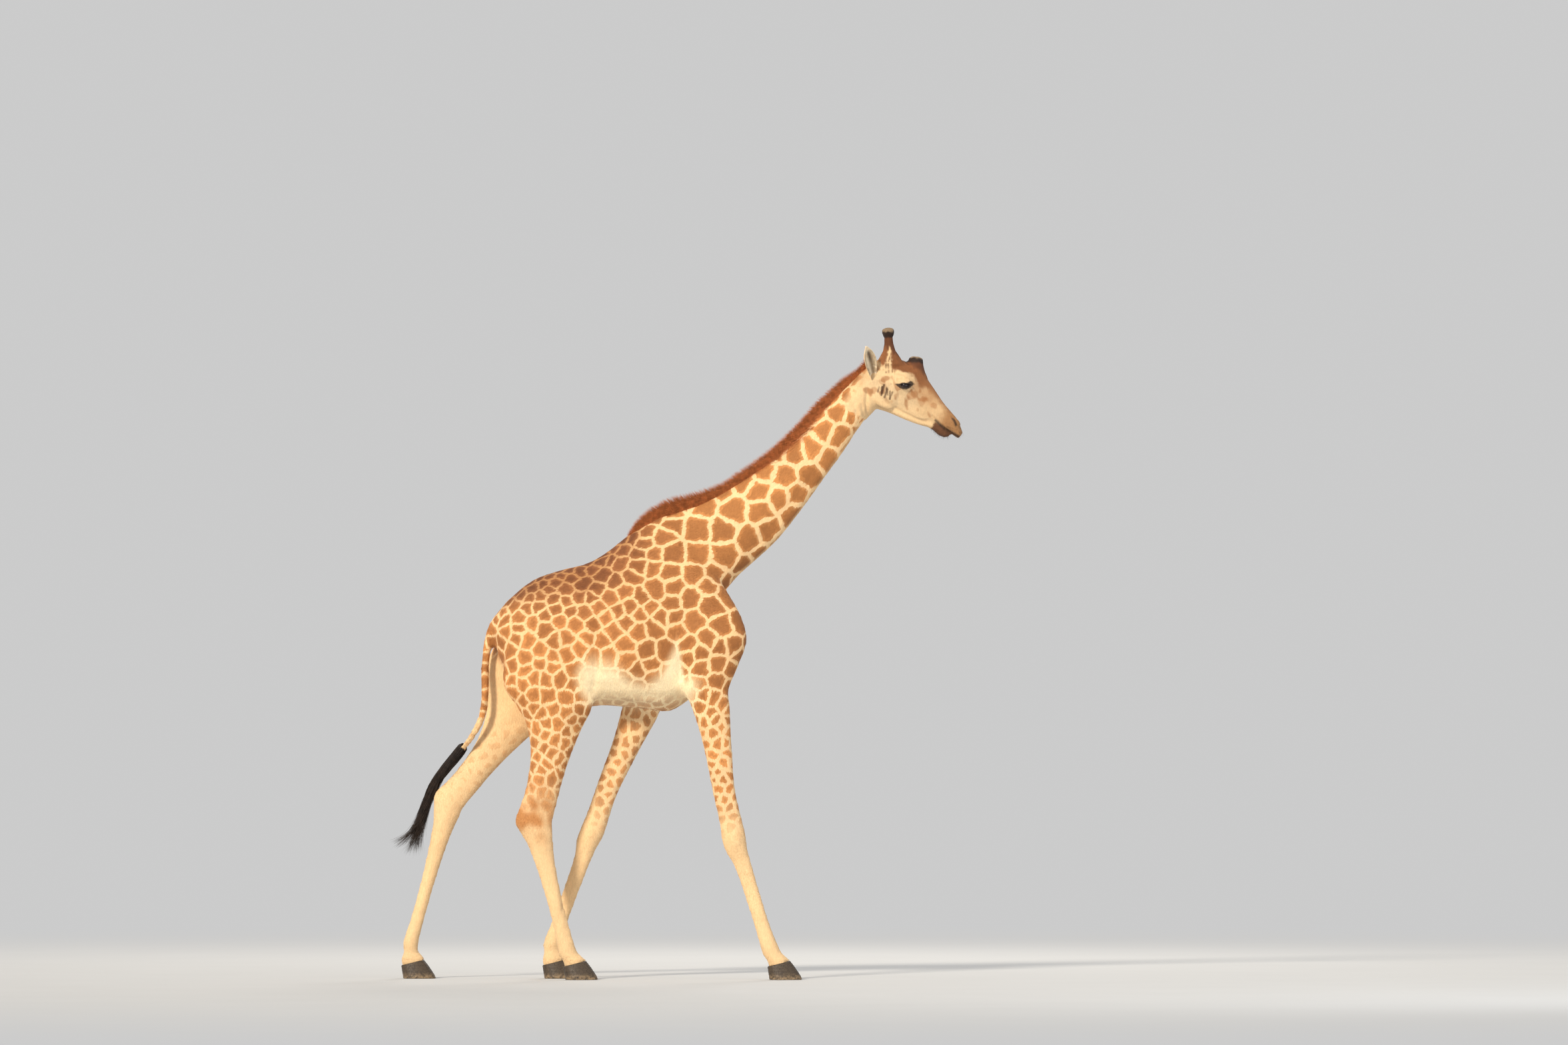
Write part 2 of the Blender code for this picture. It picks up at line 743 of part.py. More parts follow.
def hoof(name, leg, collection, cutters):
    """A cloven hoof under a leg, flat on the floor, with the cleft open at the toe."""
    fetlock, coronet = Vector(leg.joints[-2]), Vector(leg.joints[-1])
    share = (fetlock.z - HOOF_HEIGHT) / (fetlock.z - coronet.z)
    middle = fetlock.lerp(coronet, share)
    bm = bmesh.new()
    rings = []
    for height, half_length, half_width, ahead in HOOF:
        ring = []
        for i in range(HOOF_POINTS):
            turn = 2 * math.pi * i / HOOF_POINTS
            x = half_length * math.copysign(abs(math.cos(turn)) ** 0.85, math.cos(turn)) + ahead
            y = half_width * math.copysign(abs(math.sin(turn)) ** 0.75, math.sin(turn))
            z = height * (HOOF_HEIGHT - GAP + x * math.tan(CORONET_SLOPE))
            ring.append(bm.verts.new((middle.x + x, middle.y + y, z)))
        rings.append(ring)
    for ring, following in zip(rings, rings[1:], strict=False):
        for i in range(HOOF_POINTS):
            j = (i + 1) % HOOF_POINTS
            bm.faces.new((ring[i], ring[j], following[j], following[i]))
    bm.faces.new(rings[0])
    bm.faces.new(rings[-1])
    made = object_of(bm, name, collection)
    toe = middle.x + HOOF[1][1] + HOOF[1][3]
    bm = bmesh.new()
    corners = [
        (toe - CLEFT_LENGTH, 0),
        (toe + 0.02, -0.62 * CLEFT_WIDTH),
        (toe + 0.02, 0.62 * CLEFT_WIDTH),
    ]
    low = [bm.verts.new((x, middle.y + y, -0.02)) for x, y in corners]
    high = [bm.verts.new((x, middle.y + y, HOOF_HEIGHT + 0.1)) for x, y in corners]
    bm.faces.new(low)
    bm.faces.new(high)
    for i in range(3):
        bm.faces.new((low[i], low[(i + 1) % 3], high[(i + 1) % 3], high[i]))
    cleft = hidden(object_of(bm, name + "_cleft", cutters))
    return boolean(made, cleft, "DIFFERENCE")


def coronet_cutter(name, leg, cutters):
    """A block under the slanted line at which a leg's skin gives way to its hoof."""
    fetlock, coronet = Vector(leg.joints[-2]), Vector(leg.joints[-1])
    share = (fetlock.z - HOOF_HEIGHT) / (fetlock.z - coronet.z)
    middle = fetlock.lerp(coronet, share)
    fall = 0.2 * math.tan(CORONET_SLOPE)
    outline = (
        (middle.x - 0.2, HOOF_HEIGHT - fall),
        (middle.x + 0.2, HOOF_HEIGHT + fall),
        (middle.x + 0.2, -0.3),
        (middle.x - 0.2, -0.3),
    )
    return prism(name, outline, middle.y - 0.11, middle.y + 0.11, cutters)


def ear(name, side, collection):
    """A leaf-shaped ear that is cupped towards the front and the side."""
    base, tip, opening = (Vector((p[0], p[1] * side, p[2])) for p in (EAR_BASE, EAR_TIP, EAR_OPENING))
    axis = (tip - base).normalized()
    opening = (opening - axis * opening.dot(axis)).normalized()
    across = axis.cross(opening)
    bm = bmesh.new()
    rings = []
    for station in densified([tuple(row) for row in EAR]):
        along, width, depth = station
        centre = base.lerp(tip, along)
        outer, inner = [], []
        for i in range(9):
            u = i / 4 - 1
            shell = centre + across * (u * width / 2) + opening * (depth * (u * u - 0.5))
            outer.append(bm.verts.new(shell - opening * EAR_THICKNESS / 2))
            if 0 < i < 8:
                inner.append(bm.verts.new(shell + opening * EAR_THICKNESS / 2))
        rings.append(outer + inner[::-1])
    for ring, following in zip(rings, rings[1:], strict=False):
        for i in range(len(ring)):
            j = (i + 1) % len(ring)
            bm.faces.new((ring[i], ring[j], following[j], following[i]))
    bm.faces.new(rings[0])
    bm.faces.new(rings[-1])
    made = object_of(bm, name, collection)
    return lightened(made, 150)


def eye_centre(side):
    """The middle of an eyeball in the model's frame."""
    along, out, up = EYE_PLACE
    return head_frame() @ Vector((along, out * side, up))


def ball(name, centre, radius, collection):
    """A sphere."""
    bm = bmesh.new()
    bmesh.ops.create_uvsphere(
        bm, u_segments=14, v_segments=8, radius=radius, matrix=Matrix.Translation(centre)
    )
    return object_of(bm, name, collection)


def centred(parts):
    """Moves the parts so that the origin is the bottom centre of the box that holds them all."""
    points = [vertex.co for part in parts for vertex in part.data.vertices]
    low = Vector([min(point[axis] for point in points) for axis in range(3)])
    high = Vector([max(point[axis] for point in points) for axis in range(3)])
    move = Vector((-(low.x + high.x) / 2, -(low.y + high.y) / 2, -low.z))
    for part in parts:
        part.data.transform(Matrix.Translation(move))


def main():
    """Builds the giraffe."""
    clear_scene()
    giraffe = new_collection("Giraffe")
    cutters = new_collection("Cutters")
    cutters.hide_render = True
    body = fused("trunk", body_lofts(giraffe), BODY_VOXEL, 6, BODY_FACES, giraffe)
    head = fused("head", head_lofts(giraffe), HEAD_VOXEL, 4, HEAD_FACES, giraffe)

    # Hair and ears are trimmed to the flesh before it is parted.
    mane = trimmed(lightened(loft("mane", MANE, giraffe), 240), (body, head))
    tail = trimmed(lightened(round_loft("tail", TAIL, giraffe), 260), (body,))
    locks = [round_loft("lock", spots, giraffe) for spots in TUFT_LOCKS.values()]
    tuft = trimmed(fused("tail_tuft", locks, 0.009, 2, 360, giraffe), (tail, body))
    ears = []
    for side, label in ((-1, "right"), (1, "left")):
        ears.append(trimmed(ear(f"ear_{label}", side, giraffe), (head,)))

    # Head, horns and eyes.
    head_side = beyond("head_side", HEAD_CUT, cutters)
    boolean(head, head_side, "INTERSECT")
    boolean(body, grown(head_side, GAP), "DIFFERENCE")
    keep_largest(head)
    horns = []
    eyes = []
    for side, label in ((-1, "right"), (1, "left")):
        base, tip = horn_ends(PAIRED_HORN, side)
        start = base.lerp(tip, HORN_CUTS["paired"])
        cutter = column(f"horn_{label}_cutter", start, base.lerp(tip, 1.4), 0.056, cutters)
        horns.append(parted(head, cutter, f"horn_{label}"))
        eyes.append(ball(f"eye_{label}", eye_centre(side), EYE_RADIUS, giraffe))
        socket = hidden(ball(f"socket_{label}", eye_centre(side), EYE_RADIUS + GAP, cutters))
        boolean(head, socket, "DIFFERENCE")
    base, tip = horn_ends(MIDDLE_HORN, 0)
    start = base.lerp(tip, HORN_CUTS["middle"])
    cutter = column("horn_middle_cutter", start, base.lerp(tip, 2.0), 0.068, cutters)
    horns.append(parted(head, cutter, "horn_middle"))

    # Neck, legs and hooves.
    neck = parted(body, beyond("neck_side", NECK_CUT, cutters), "neck")
    flesh = [body, head, neck]
    hooves = []
    for name, leg in LEGS.items():
        side = -1 if name.endswith("right") else 1
        boolean(body, coronet_cutter(f"{name}_coronet", leg, cutters), "DIFFERENCE")
        hooves.append(hoof(name.replace("leg", "hoof"), leg, giraffe, cutters))
        cutter = prism(
            f"{name}_cutter", leg.outline, side * LEG_INSIDE, side * REACH, cutters, LEG_RISE
        )
        flesh.append(parted(body, cutter, name))

    for part in flesh + ears + [tail]:
        dressed(part, "coat")
    for part, finish in ((mane, "mane"), (tuft, "tuft")):
        dressed(part, finish)
    for parts, finish in ((hooves, "hoof"), (eyes, "eye"), (horns, "horn")):
        for part in parts:
            dressed(part, finish)
    centred(list(giraffe.objects))


main()
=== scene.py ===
"""Looks of a life-size walking giraffe: skin, coat, hair, eyes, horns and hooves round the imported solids.

Metres, +X towards the muzzle, +Y to the animal's left, +Z up, the soles on Z = 0.

One skin stands for every solid of flesh. It lies inside them by the depth of the coat and carries the
markings as attributes, which the coat's tufts take over from their roots.
"""

import json
import logging
import math
from collections.abc import Callable, Iterator, Sequence
from contextlib import contextmanager
from dataclasses import dataclass, field
from enum import Enum

import bmesh
import bpy
import numpy as np
from mathutils import Matrix, Vector
from mathutils.bvhtree import BVHTree

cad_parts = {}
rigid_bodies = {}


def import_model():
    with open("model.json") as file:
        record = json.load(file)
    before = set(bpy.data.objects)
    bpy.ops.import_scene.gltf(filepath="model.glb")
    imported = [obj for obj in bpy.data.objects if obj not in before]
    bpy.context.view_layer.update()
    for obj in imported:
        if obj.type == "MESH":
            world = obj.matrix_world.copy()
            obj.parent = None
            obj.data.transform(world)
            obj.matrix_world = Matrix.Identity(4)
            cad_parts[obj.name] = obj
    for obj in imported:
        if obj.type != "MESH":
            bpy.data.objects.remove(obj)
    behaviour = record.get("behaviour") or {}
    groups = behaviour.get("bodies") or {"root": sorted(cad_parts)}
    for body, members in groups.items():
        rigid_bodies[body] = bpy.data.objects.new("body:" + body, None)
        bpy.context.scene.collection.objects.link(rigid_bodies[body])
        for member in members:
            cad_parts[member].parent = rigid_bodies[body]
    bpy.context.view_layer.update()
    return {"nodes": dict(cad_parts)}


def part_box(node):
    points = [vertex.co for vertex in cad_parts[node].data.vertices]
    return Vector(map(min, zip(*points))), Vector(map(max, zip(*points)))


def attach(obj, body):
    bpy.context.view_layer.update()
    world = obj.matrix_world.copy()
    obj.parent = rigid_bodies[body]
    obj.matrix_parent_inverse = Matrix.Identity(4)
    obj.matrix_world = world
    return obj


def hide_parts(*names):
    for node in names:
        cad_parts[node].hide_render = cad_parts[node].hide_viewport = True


LOG = logging.getLogger("giraffe")
Array = np.ndarray
Object = bpy.types.Object
Mesh = bpy.types.Mesh
Node = bpy.types.Node
Socket = bpy.types.NodeSocket
Material = bpy.types.Material

HEAD_PITCH = math.radians(33.7)  # how far the muzzle points below the horizon
POLL = np.array((1.185, 0.0, 3.731))  # the head frame's origin, behind the ears, before the shift
EYE_PLACE = (0.222, 0.099, 0.052)  # in the head's frame: along, out to the side, up
EYE_RADIUS = 0.027
SIDES = {"right": -1, "left": 1}
FLESH = ("trunk", "neck", "head", "foreleg_right", "foreleg_left", "hindleg_right", "hindleg_left", "tail")
HORNS = ("horn_right", "horn_left", "horn_middle")
HOOF_NODES = ("forehoof_right", "forehoof_left", "hindhoof_right", "hindhoof_left")
TAIL_LINE = (  # the tail bone, from the rump to the tuft, before the shift
    (-1.128, 0.000, 2.165), (-1.165, 0.000, 2.060), (-1.180, 0.000, 1.930), (-1.181, 0.002, 1.770),
    (-1.190, 0.008, 1.660), (-1.216, 0.026, 1.575), (-1.268, 0.066, 1.485), (-1.322, 0.122, 1.415),
)
TAIL_FULLNESS = 0.0065  # how far the tail's skin stands out past its solid
HOOF_TOE = 0.1408  # from the toe's tip back to the middle of the hoof's top
PULL_PUSH = (0.55, -0.57)  # one round of smoothing: pulls points in, then pushes them out a little further
MAP_SPOT = 0.003  # how much of the map's width one tuft or hair takes
COLLAR = np.array((0.0660, 0.0550))  # half length and half width of the leg where it enters the hoof


# ---------------------------------------------------------------- small helpers on arrays
def unit(vectors: Array) -> Array:
    """The vectors scaled to length one."""
    return vectors / np.maximum(np.linalg.norm(vectors, axis=-1, keepdims=True), 1e-9)


def ramp(values: Array, start: float, end: float) -> Array:
    """A smooth step from 0 at start to 1 at end, which may lie either way round."""
    share = np.clip((values - start) / (end - start), 0.0, 1.0)
    return share * share * (3.0 - 2.0 * share)


def bump(distance: Array, width: float) -> Array:
    """A bell that is 1 at distance 0 and nearly 0 at twice the width."""
    return np.exp(-0.5 * (distance / width) ** 2)


def mixed(first: Array, second: Array, share: Array) -> Array:
    """Rows of first and second mixed by a share of each row."""
    share = np.asarray(share)[:, None]
    return first * (1.0 - share) + second * share


def to_path(points: Array, path: Sequence[Sequence[float]]) -> tuple[Array, Array]:
    """How far points lie from a path of straight pieces.

    Args:
        points: rows of two or three coordinates.
        path: the path's corners, in the same coordinates.

    Returns:
        Each point's distance to the path, and where along the path its nearest place is, from 0 to 1.
    """
    corners = np.asarray(path, float)
    lengths = np.linalg.norm(np.diff(corners, axis=0), axis=1)
    starts = np.concatenate([[0.0], np.cumsum(lengths)])
    best = np.full(len(points), 1e9)
    along = np.zeros(len(points))
    for i, length in enumerate(lengths):
        step = corners[i + 1] - corners[i]
        share = np.clip((points - corners[i]) @ step / length**2, 0.0, 1.0)
        gap = np.linalg.norm(points - corners[i] - share[:, None] * step, axis=1)
        closer = gap < best
        best[closer] = gap[closer]
        along[closer] = (starts[i] + share[closer] * length) / starts[-1]
    return best, along


def smooth_path(points: Sequence[Sequence[float]], steps: int) -> Array:
    """Points on a smooth curve through the given ones, with `steps` from each to the next."""
    rows = np.asarray(points, float)
    out = []
    for i in range(len(rows) - 1):
        a, b, c, d = rows[max(i - 1, 0)], rows[i], rows[i + 1], rows[min(i + 2, len(rows) - 1)]
        for k in range(steps):
            t = k / steps
            bend, twist = 2 * a - 5 * b + 4 * c - d, 3 * b - a - 3 * c + d
            out.append(0.5 * (2 * b + (c - a) * t + bend * t**2 + twist * t**3))
    out.append(rows[-1])
    return np.array(out)


def noise_at(points: Array, scale: float, seed: int) -> Array:
    """A cheap smooth noise from -1 to 1: a few turned sine waves, the same on every run."""
    rng = np.random.default_rng(seed)
    total = np.zeros(len(points))
    for _ in range(7):
        wave = unit(rng.normal(size=3)) * scale * rng.uniform(0.6, 1.6)
        total += np.sin(points @ wave + rng.uniform(0, 2 * math.pi))
    return total / 3.2


# ---------------------------------------------------------------- small helpers on meshes
def linked(name: str, data: bpy.types.ID) -> Object:
    """A new object in the scene that holds this mesh, lamp or camera."""
    made = bpy.data.objects.new(name, data)
    bpy.context.scene.collection.objects.link(made)
    return made


def new_object(name: str, vertices: Array, faces: Sequence[Sequence[int]]) -> Object:
    """A linked mesh object made from points and faces."""
    mesh = bpy.data.meshes.new(name)
    mesh.from_pydata(np.asarray(vertices, float).tolist(), [], [list(map(int, f)) for f in faces])
    mesh.update()
    return linked(name, mesh)


def array_object(name: str, vertices: Array, triangles: Array) -> Object:
    """A linked mesh object made quickly from arrays of points and triangles."""
    mesh = bpy.data.meshes.new(name)
    mesh.vertices.add(len(vertices))
    mesh.vertices.foreach_set("co", np.asarray(vertices, np.float32).ravel())
    mesh.loops.add(3 * len(triangles))
    mesh.loops.foreach_set("vertex_index", np.asarray(triangles, np.int32).ravel())
    mesh.polygons.add(len(triangles))
    mesh.polygons.foreach_set("loop_start", np.arange(0, 3 * len(triangles), 3, dtype=np.int32))
    mesh.update(calc_edges=True)
    return linked(name, mesh)


def loft_faces(rings: int, sides: int, first: int = 0, looped: bool = False) -> list[tuple]:
    """Faces between rings of points that are numbered in order.

    Args:
        rings: how many rings there are.
        sides: how many points each ring has.
        first: the number of the first ring's first point.
        looped: whether the last ring joins the first. Otherwise both ends are capped.

    Returns:
        The faces as tuples of point numbers.
    """
    faces = []
    for i in range(rings if looped else rings - 1):
        near, far = first + i * sides, first + (i + 1) % rings * sides
        for k in range(sides):
            after = (k + 1) % sides
            faces.append((near + k, near + after, far + after, far + k))
    if not looped:
        last = first + (rings - 1) * sides
        faces += [tuple(range(first, first + sides)), tuple(reversed(range(last, last + sides)))]
    return faces


def applied(obj: Object) -> Object:
    """Makes the object's modifiers part of its mesh."""
    bpy.context.view_layer.update()
    graph = bpy.context.evaluated_depsgraph_get()
    mesh = bpy.data.meshes.new_from_object(obj.evaluated_get(graph))
    obj.modifiers.clear()
    old, obj.data = obj.data, mesh
    bpy.data.meshes.remove(old)
    return obj


@contextmanager
def edited(mesh: Mesh) -> Iterator[bmesh.types.BMesh]:
    """Opens a mesh so that its points and faces can be changed, and writes it back."""
    bm = bmesh.new()
    bm.from_mesh(mesh)
    yield bm
    bm.to_mesh(mesh)
    bm.free()


def rows_of(data: Sequence, key: str, width: int, kind: type = np.float32) -> Array:
    """A row of numbers for each item in one of a mesh's lists."""
    out = np.empty(len(data) * width, kind)
    data.foreach_get(key, out)
    return out.reshape(-1, width).astype(float if kind is np.float32 else int)


def vertices_of(mesh: Mesh) -> Array:
    """The mesh's points as rows."""
    return rows_of(mesh.vertices, "co", 3)


def normals_of(mesh: Mesh) -> Array:
    """The mesh's outward directions at its points."""
    return rows_of(mesh.vertex_normals, "vector", 3)


def edges_of(mesh: Mesh) -> Array:
    """The mesh's edges as pairs of point numbers."""
    return rows_of(mesh.edges, "vertices", 2, np.int32)


def moved_to(mesh: Mesh, points: Array) -> None:
    """Puts the mesh's points at the given places."""
    mesh.vertices.foreach_set("co", points.astype(np.float32).ravel())
    mesh.update()


def keep_attribute(mesh: Mesh, name: str, values: Array, domain: str = "POINT") -> None:
    """Stores one number, or one vector, for each point, face or corner of the mesh."""
    kind, key = ("FLOAT", "value") if values.ndim == 1 else ("FLOAT_VECTOR", "vector")
    made = mesh.attributes.get(name) or mesh.attributes.new(name, kind, domain)
    made.data.foreach_set(key, values.astype(np.float32).ravel())


def read_attribute(mesh: Mesh, name: str) -> Array:
    """The numbers or vectors that the mesh holds for its points under this name."""
    found = mesh.attributes[name]
    if found.data_type == "FLOAT":
        return rows_of(found.data, "value", 1)[:, 0]
    return rows_of(found.data, "vector", 3)


def evened(mesh: Mesh, values: Array, steps: Sequence[float], share: Array | float = 1.0) -> Array:
    """Rows moved towards the mean of their neighbours' rows.

    Args:
        mesh: the mesh whose points the rows belong to.
        values: a row for each point.
        steps: how far each round moves them: 0 not at all, 1 all the way, below 0 away from it.
        share: how much of each step a point takes.

    Returns:
        The rows after the last round.
    """
    a, b = edges_of(mesh).T
    counts = np.maximum(np.bincount(np.concatenate([a, b]), minlength=len(mesh.vertices)), 1)
    weight = share[:, None] if isinstance(share, np.ndarray) else share
    for step in steps:
        sums = [np.bincount(a, row[b], len(counts)) + np.bincount(b, row[a], len(counts)) for row in values.T]
        values = values + (np.transpose(sums) / counts[:, None] - values) * step * weight
    return values


def shade_smooth(obj: Object) -> None:
    """Rounds the shading of every face."""
    obj.data.polygons.foreach_set("use_smooth", np.ones(len(obj.data.polygons), bool))
    obj.data.update()


def facing_out(obj: Object) -> None:
    """Turns every face of a closed piece outwards and rounds its shading."""
    with edited(obj.data) as bm:
        bmesh.ops.recalc_face_normals(bm, faces=bm.faces)
    shade_smooth(obj)


def unwrapped(obj: Object) -> None:
    """Gives the object a UV map of its own shape, named OFBake, and keeps its places for the tufts' roots."""
    layer = obj.data.uv_layers.get("OFBake") or obj.data.uv_layers.new(name="OFBake")
    obj.data.uv_layers.active = layer
    for other in bpy.context.view_layer.objects:
        other.select_set(other == obj)
    bpy.context.view_layer.objects.active = obj
    bpy.ops.object.mode_set(mode="EDIT")
    bpy.ops.mesh.select_all(action="SELECT")
    bpy.ops.uv.smart_project(angle_limit=math.radians(66), island_margin=0.002)
    bpy.ops.object.mode_set(mode="OBJECT")
    flat = rows_of(obj.data.uv_layers["OFBake"].data, "uv", 2)
    keep_attribute(obj.data, "root_uv", np.column_stack([flat, np.zeros(len(flat))]), "CORNER")


def keep_map(mesh: Mesh, uv: Array) -> None:
    """Stores one place on the map for each vertex, under the name OFBake."""
    corner = rows_of(mesh.loops, "vertex_index", 1, np.int32)[:, 0]
    layer = mesh.uv_layers.new(name="OFBake")
    layer.data.foreach_set("uv", uv[corner].astype(np.float32).ravel())


def strands(paths: Array, radii: Array, sides: int = 3) -> tuple[Array, Array, Array]:
    """Tapered closed hairs along paths.

    Args:
        paths: hairs x places x 3 coordinates.
        radii: hairs x places, the half thickness at each place. The last place becomes a point.
        sides: how many sides a hair has.

    Returns:
        Points, triangles, and for each point its share of the way from root to tip.
    """
    count, places = paths.shape[:2]
    along = unit(np.gradient(paths, axis=1))
    helper = np.where(np.abs(along[..., 2:3]) > 0.9, (1.0, 0.0, 0.0), (0.0, 0.0, 1.0))
    across = unit(np.cross(along, helper))
    other = np.cross(along, across)
    turns = np.arange(sides) * 2 * math.pi / sides
    ring = (
        across[:, :, None, :] * np.cos(turns)[None, None, :, None]
        + other[:, :, None, :] * np.sin(turns)[None, None, :, None]
    )
    body = paths[:, :-1, None, :] + ring[:, :-1] * radii[:, :-1, None, None]
    per_hair = (places - 1) * sides + 2
    points = np.concatenate(
        [body.reshape(count, -1, 3), paths[:, -1:, :], paths[:, :1, :]], axis=1
    ).reshape(-1, 3)
    faces = []
    for level in range(places - 2):
        for k in range(sides):
            a, b = level * sides + k, level * sides + (k + 1) % sides
            faces += [(a, b, b + sides), (a, b + sides, a + sides)]
    top, root = per_hair - 2, per_hair - 1
    for k in range(sides):
        last = (places - 2) * sides
        faces.append((last + k, last + (k + 1) % sides, top))
        faces.append(((k + 1) % sides, k, root))
    pattern = np.array(faces)
    triangles = (pattern[None] + (np.arange(count) * per_hair)[:, None, None]).reshape(-1, 3)
    shares = np.concatenate([np.repeat(np.linspace(0, 1, places)[:-1], sides), [1.0, 0.0]])
    return points, triangles, np.tile(shares, count)


def arched(root: Array, way: Array, length: Array, bend: Array, places: int) -> Array:
    """Hair paths from their roots along unit ways, each carried off by its bend as the square of its run."""
    steps = np.linspace(0, 1, places)
    straight = root[:, None] + way[:, None] * (length[:, None] * steps)[..., None]
    return straight + bend[:, None] * (steps**2)[None, :, None]


def hairs(name: str, paths: Array, radius: float | Array, tip: float, roots: Array) -> Object:
    """Closed hairs along paths as one object, each a small patch of the map at its root's place.

    Args:
        name: the new object's name.
        paths: hairs x places x 3 coordinates.
        radius: half the thickness at the root, one for all or a column with each hair's own.
        tip: what is left of that thickness near the tip.
        roots: hairs x 2, where each root lies on the map.

    Returns:
        The object, with hair_along stored.
    """
    radii = radius * np.linspace(1.0, tip, paths.shape[1])[None] * np.ones((len(paths), 1))
    points, triangles, along = strands(paths, radii)
    obj = array_object(name, points, triangles)
    keep_attribute(obj.data, "hair_along", along)
    around = np.arange(len(points)) % 3 / 3
    per_hair = len(points) // len(roots)
    keep_map(obj.data, np.repeat(roots, per_hair, axis=0) + np.column_stack([around, along]) * MAP_SPOT)
    shade_smooth(obj)
    return obj


# ---------------------------------------------------------------- the animal's own frames
def mirrored(place: Sequence[float], side: int) -> Array:
    """A place that is given for the left side, on this side."""
    return np.array(place) * (1, side, 1)


def hoof_middle(node: str) -> Array:
    """Where the middle of a packed hoof's top lies: x and y."""
    low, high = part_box(node)
    return np.array((high[0] - HOOF_TOE, (low[1] + high[1]) / 2))


@dataclass(frozen=True)
class BodyPlan:
    """Where the landmarks are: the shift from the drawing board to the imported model, and the head's frame."""

    shift: Array

    @classmethod
    def measured(cls) -> "BodyPlan":
        """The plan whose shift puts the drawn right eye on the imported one."""
        low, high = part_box("eye_right")
        middle = (np.array(low) + np.array(high)) / 2
        return cls(middle - cls(np.zeros(3)).eye(SIDES["right"]))

    @property
    def turn(self) -> Array:
        """The head's axes as columns: along it, to its left, up from it."""
        return np.array(Matrix.Rotation(HEAD_PITCH, 3, "Y"))

    def from_head(self, points: Array) -> Array:
        """Points given in the head's frame, in the model's."""
        return np.asarray(points, float) @ self.turn.T + POLL + self.shift

    def to_head(self, points: Array) -> Array:
        """Points given in the model's frame, in the head's."""
        return (points - POLL - self.shift) @ self.turn

    def placed(self, points: Sequence[Sequence[float]]) -> Array:
        """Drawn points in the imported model. Pairs are x and z, threes are x, y and z."""
        rows = np.asarray(points, float)
        return rows + (self.shift[[0, 2]] if rows.shape[-1] == 2 else self.shift)

    def eye(self, side: int) -> Array:
        """The middle of an eyeball."""
        return self.from_head(mirrored(EYE_PLACE, side))


@dataclass(frozen=True)
class Fold:
    """A ridge or a groove in the skin along a line seen from the side, on one flank or both."""

    path: tuple  # its corners: x and z, or along and up in the head's frame
    width: float  # half width of its bell
    height: float  # above 0 a ridge, below 0 a groove
    sides: tuple = (-1, 1)


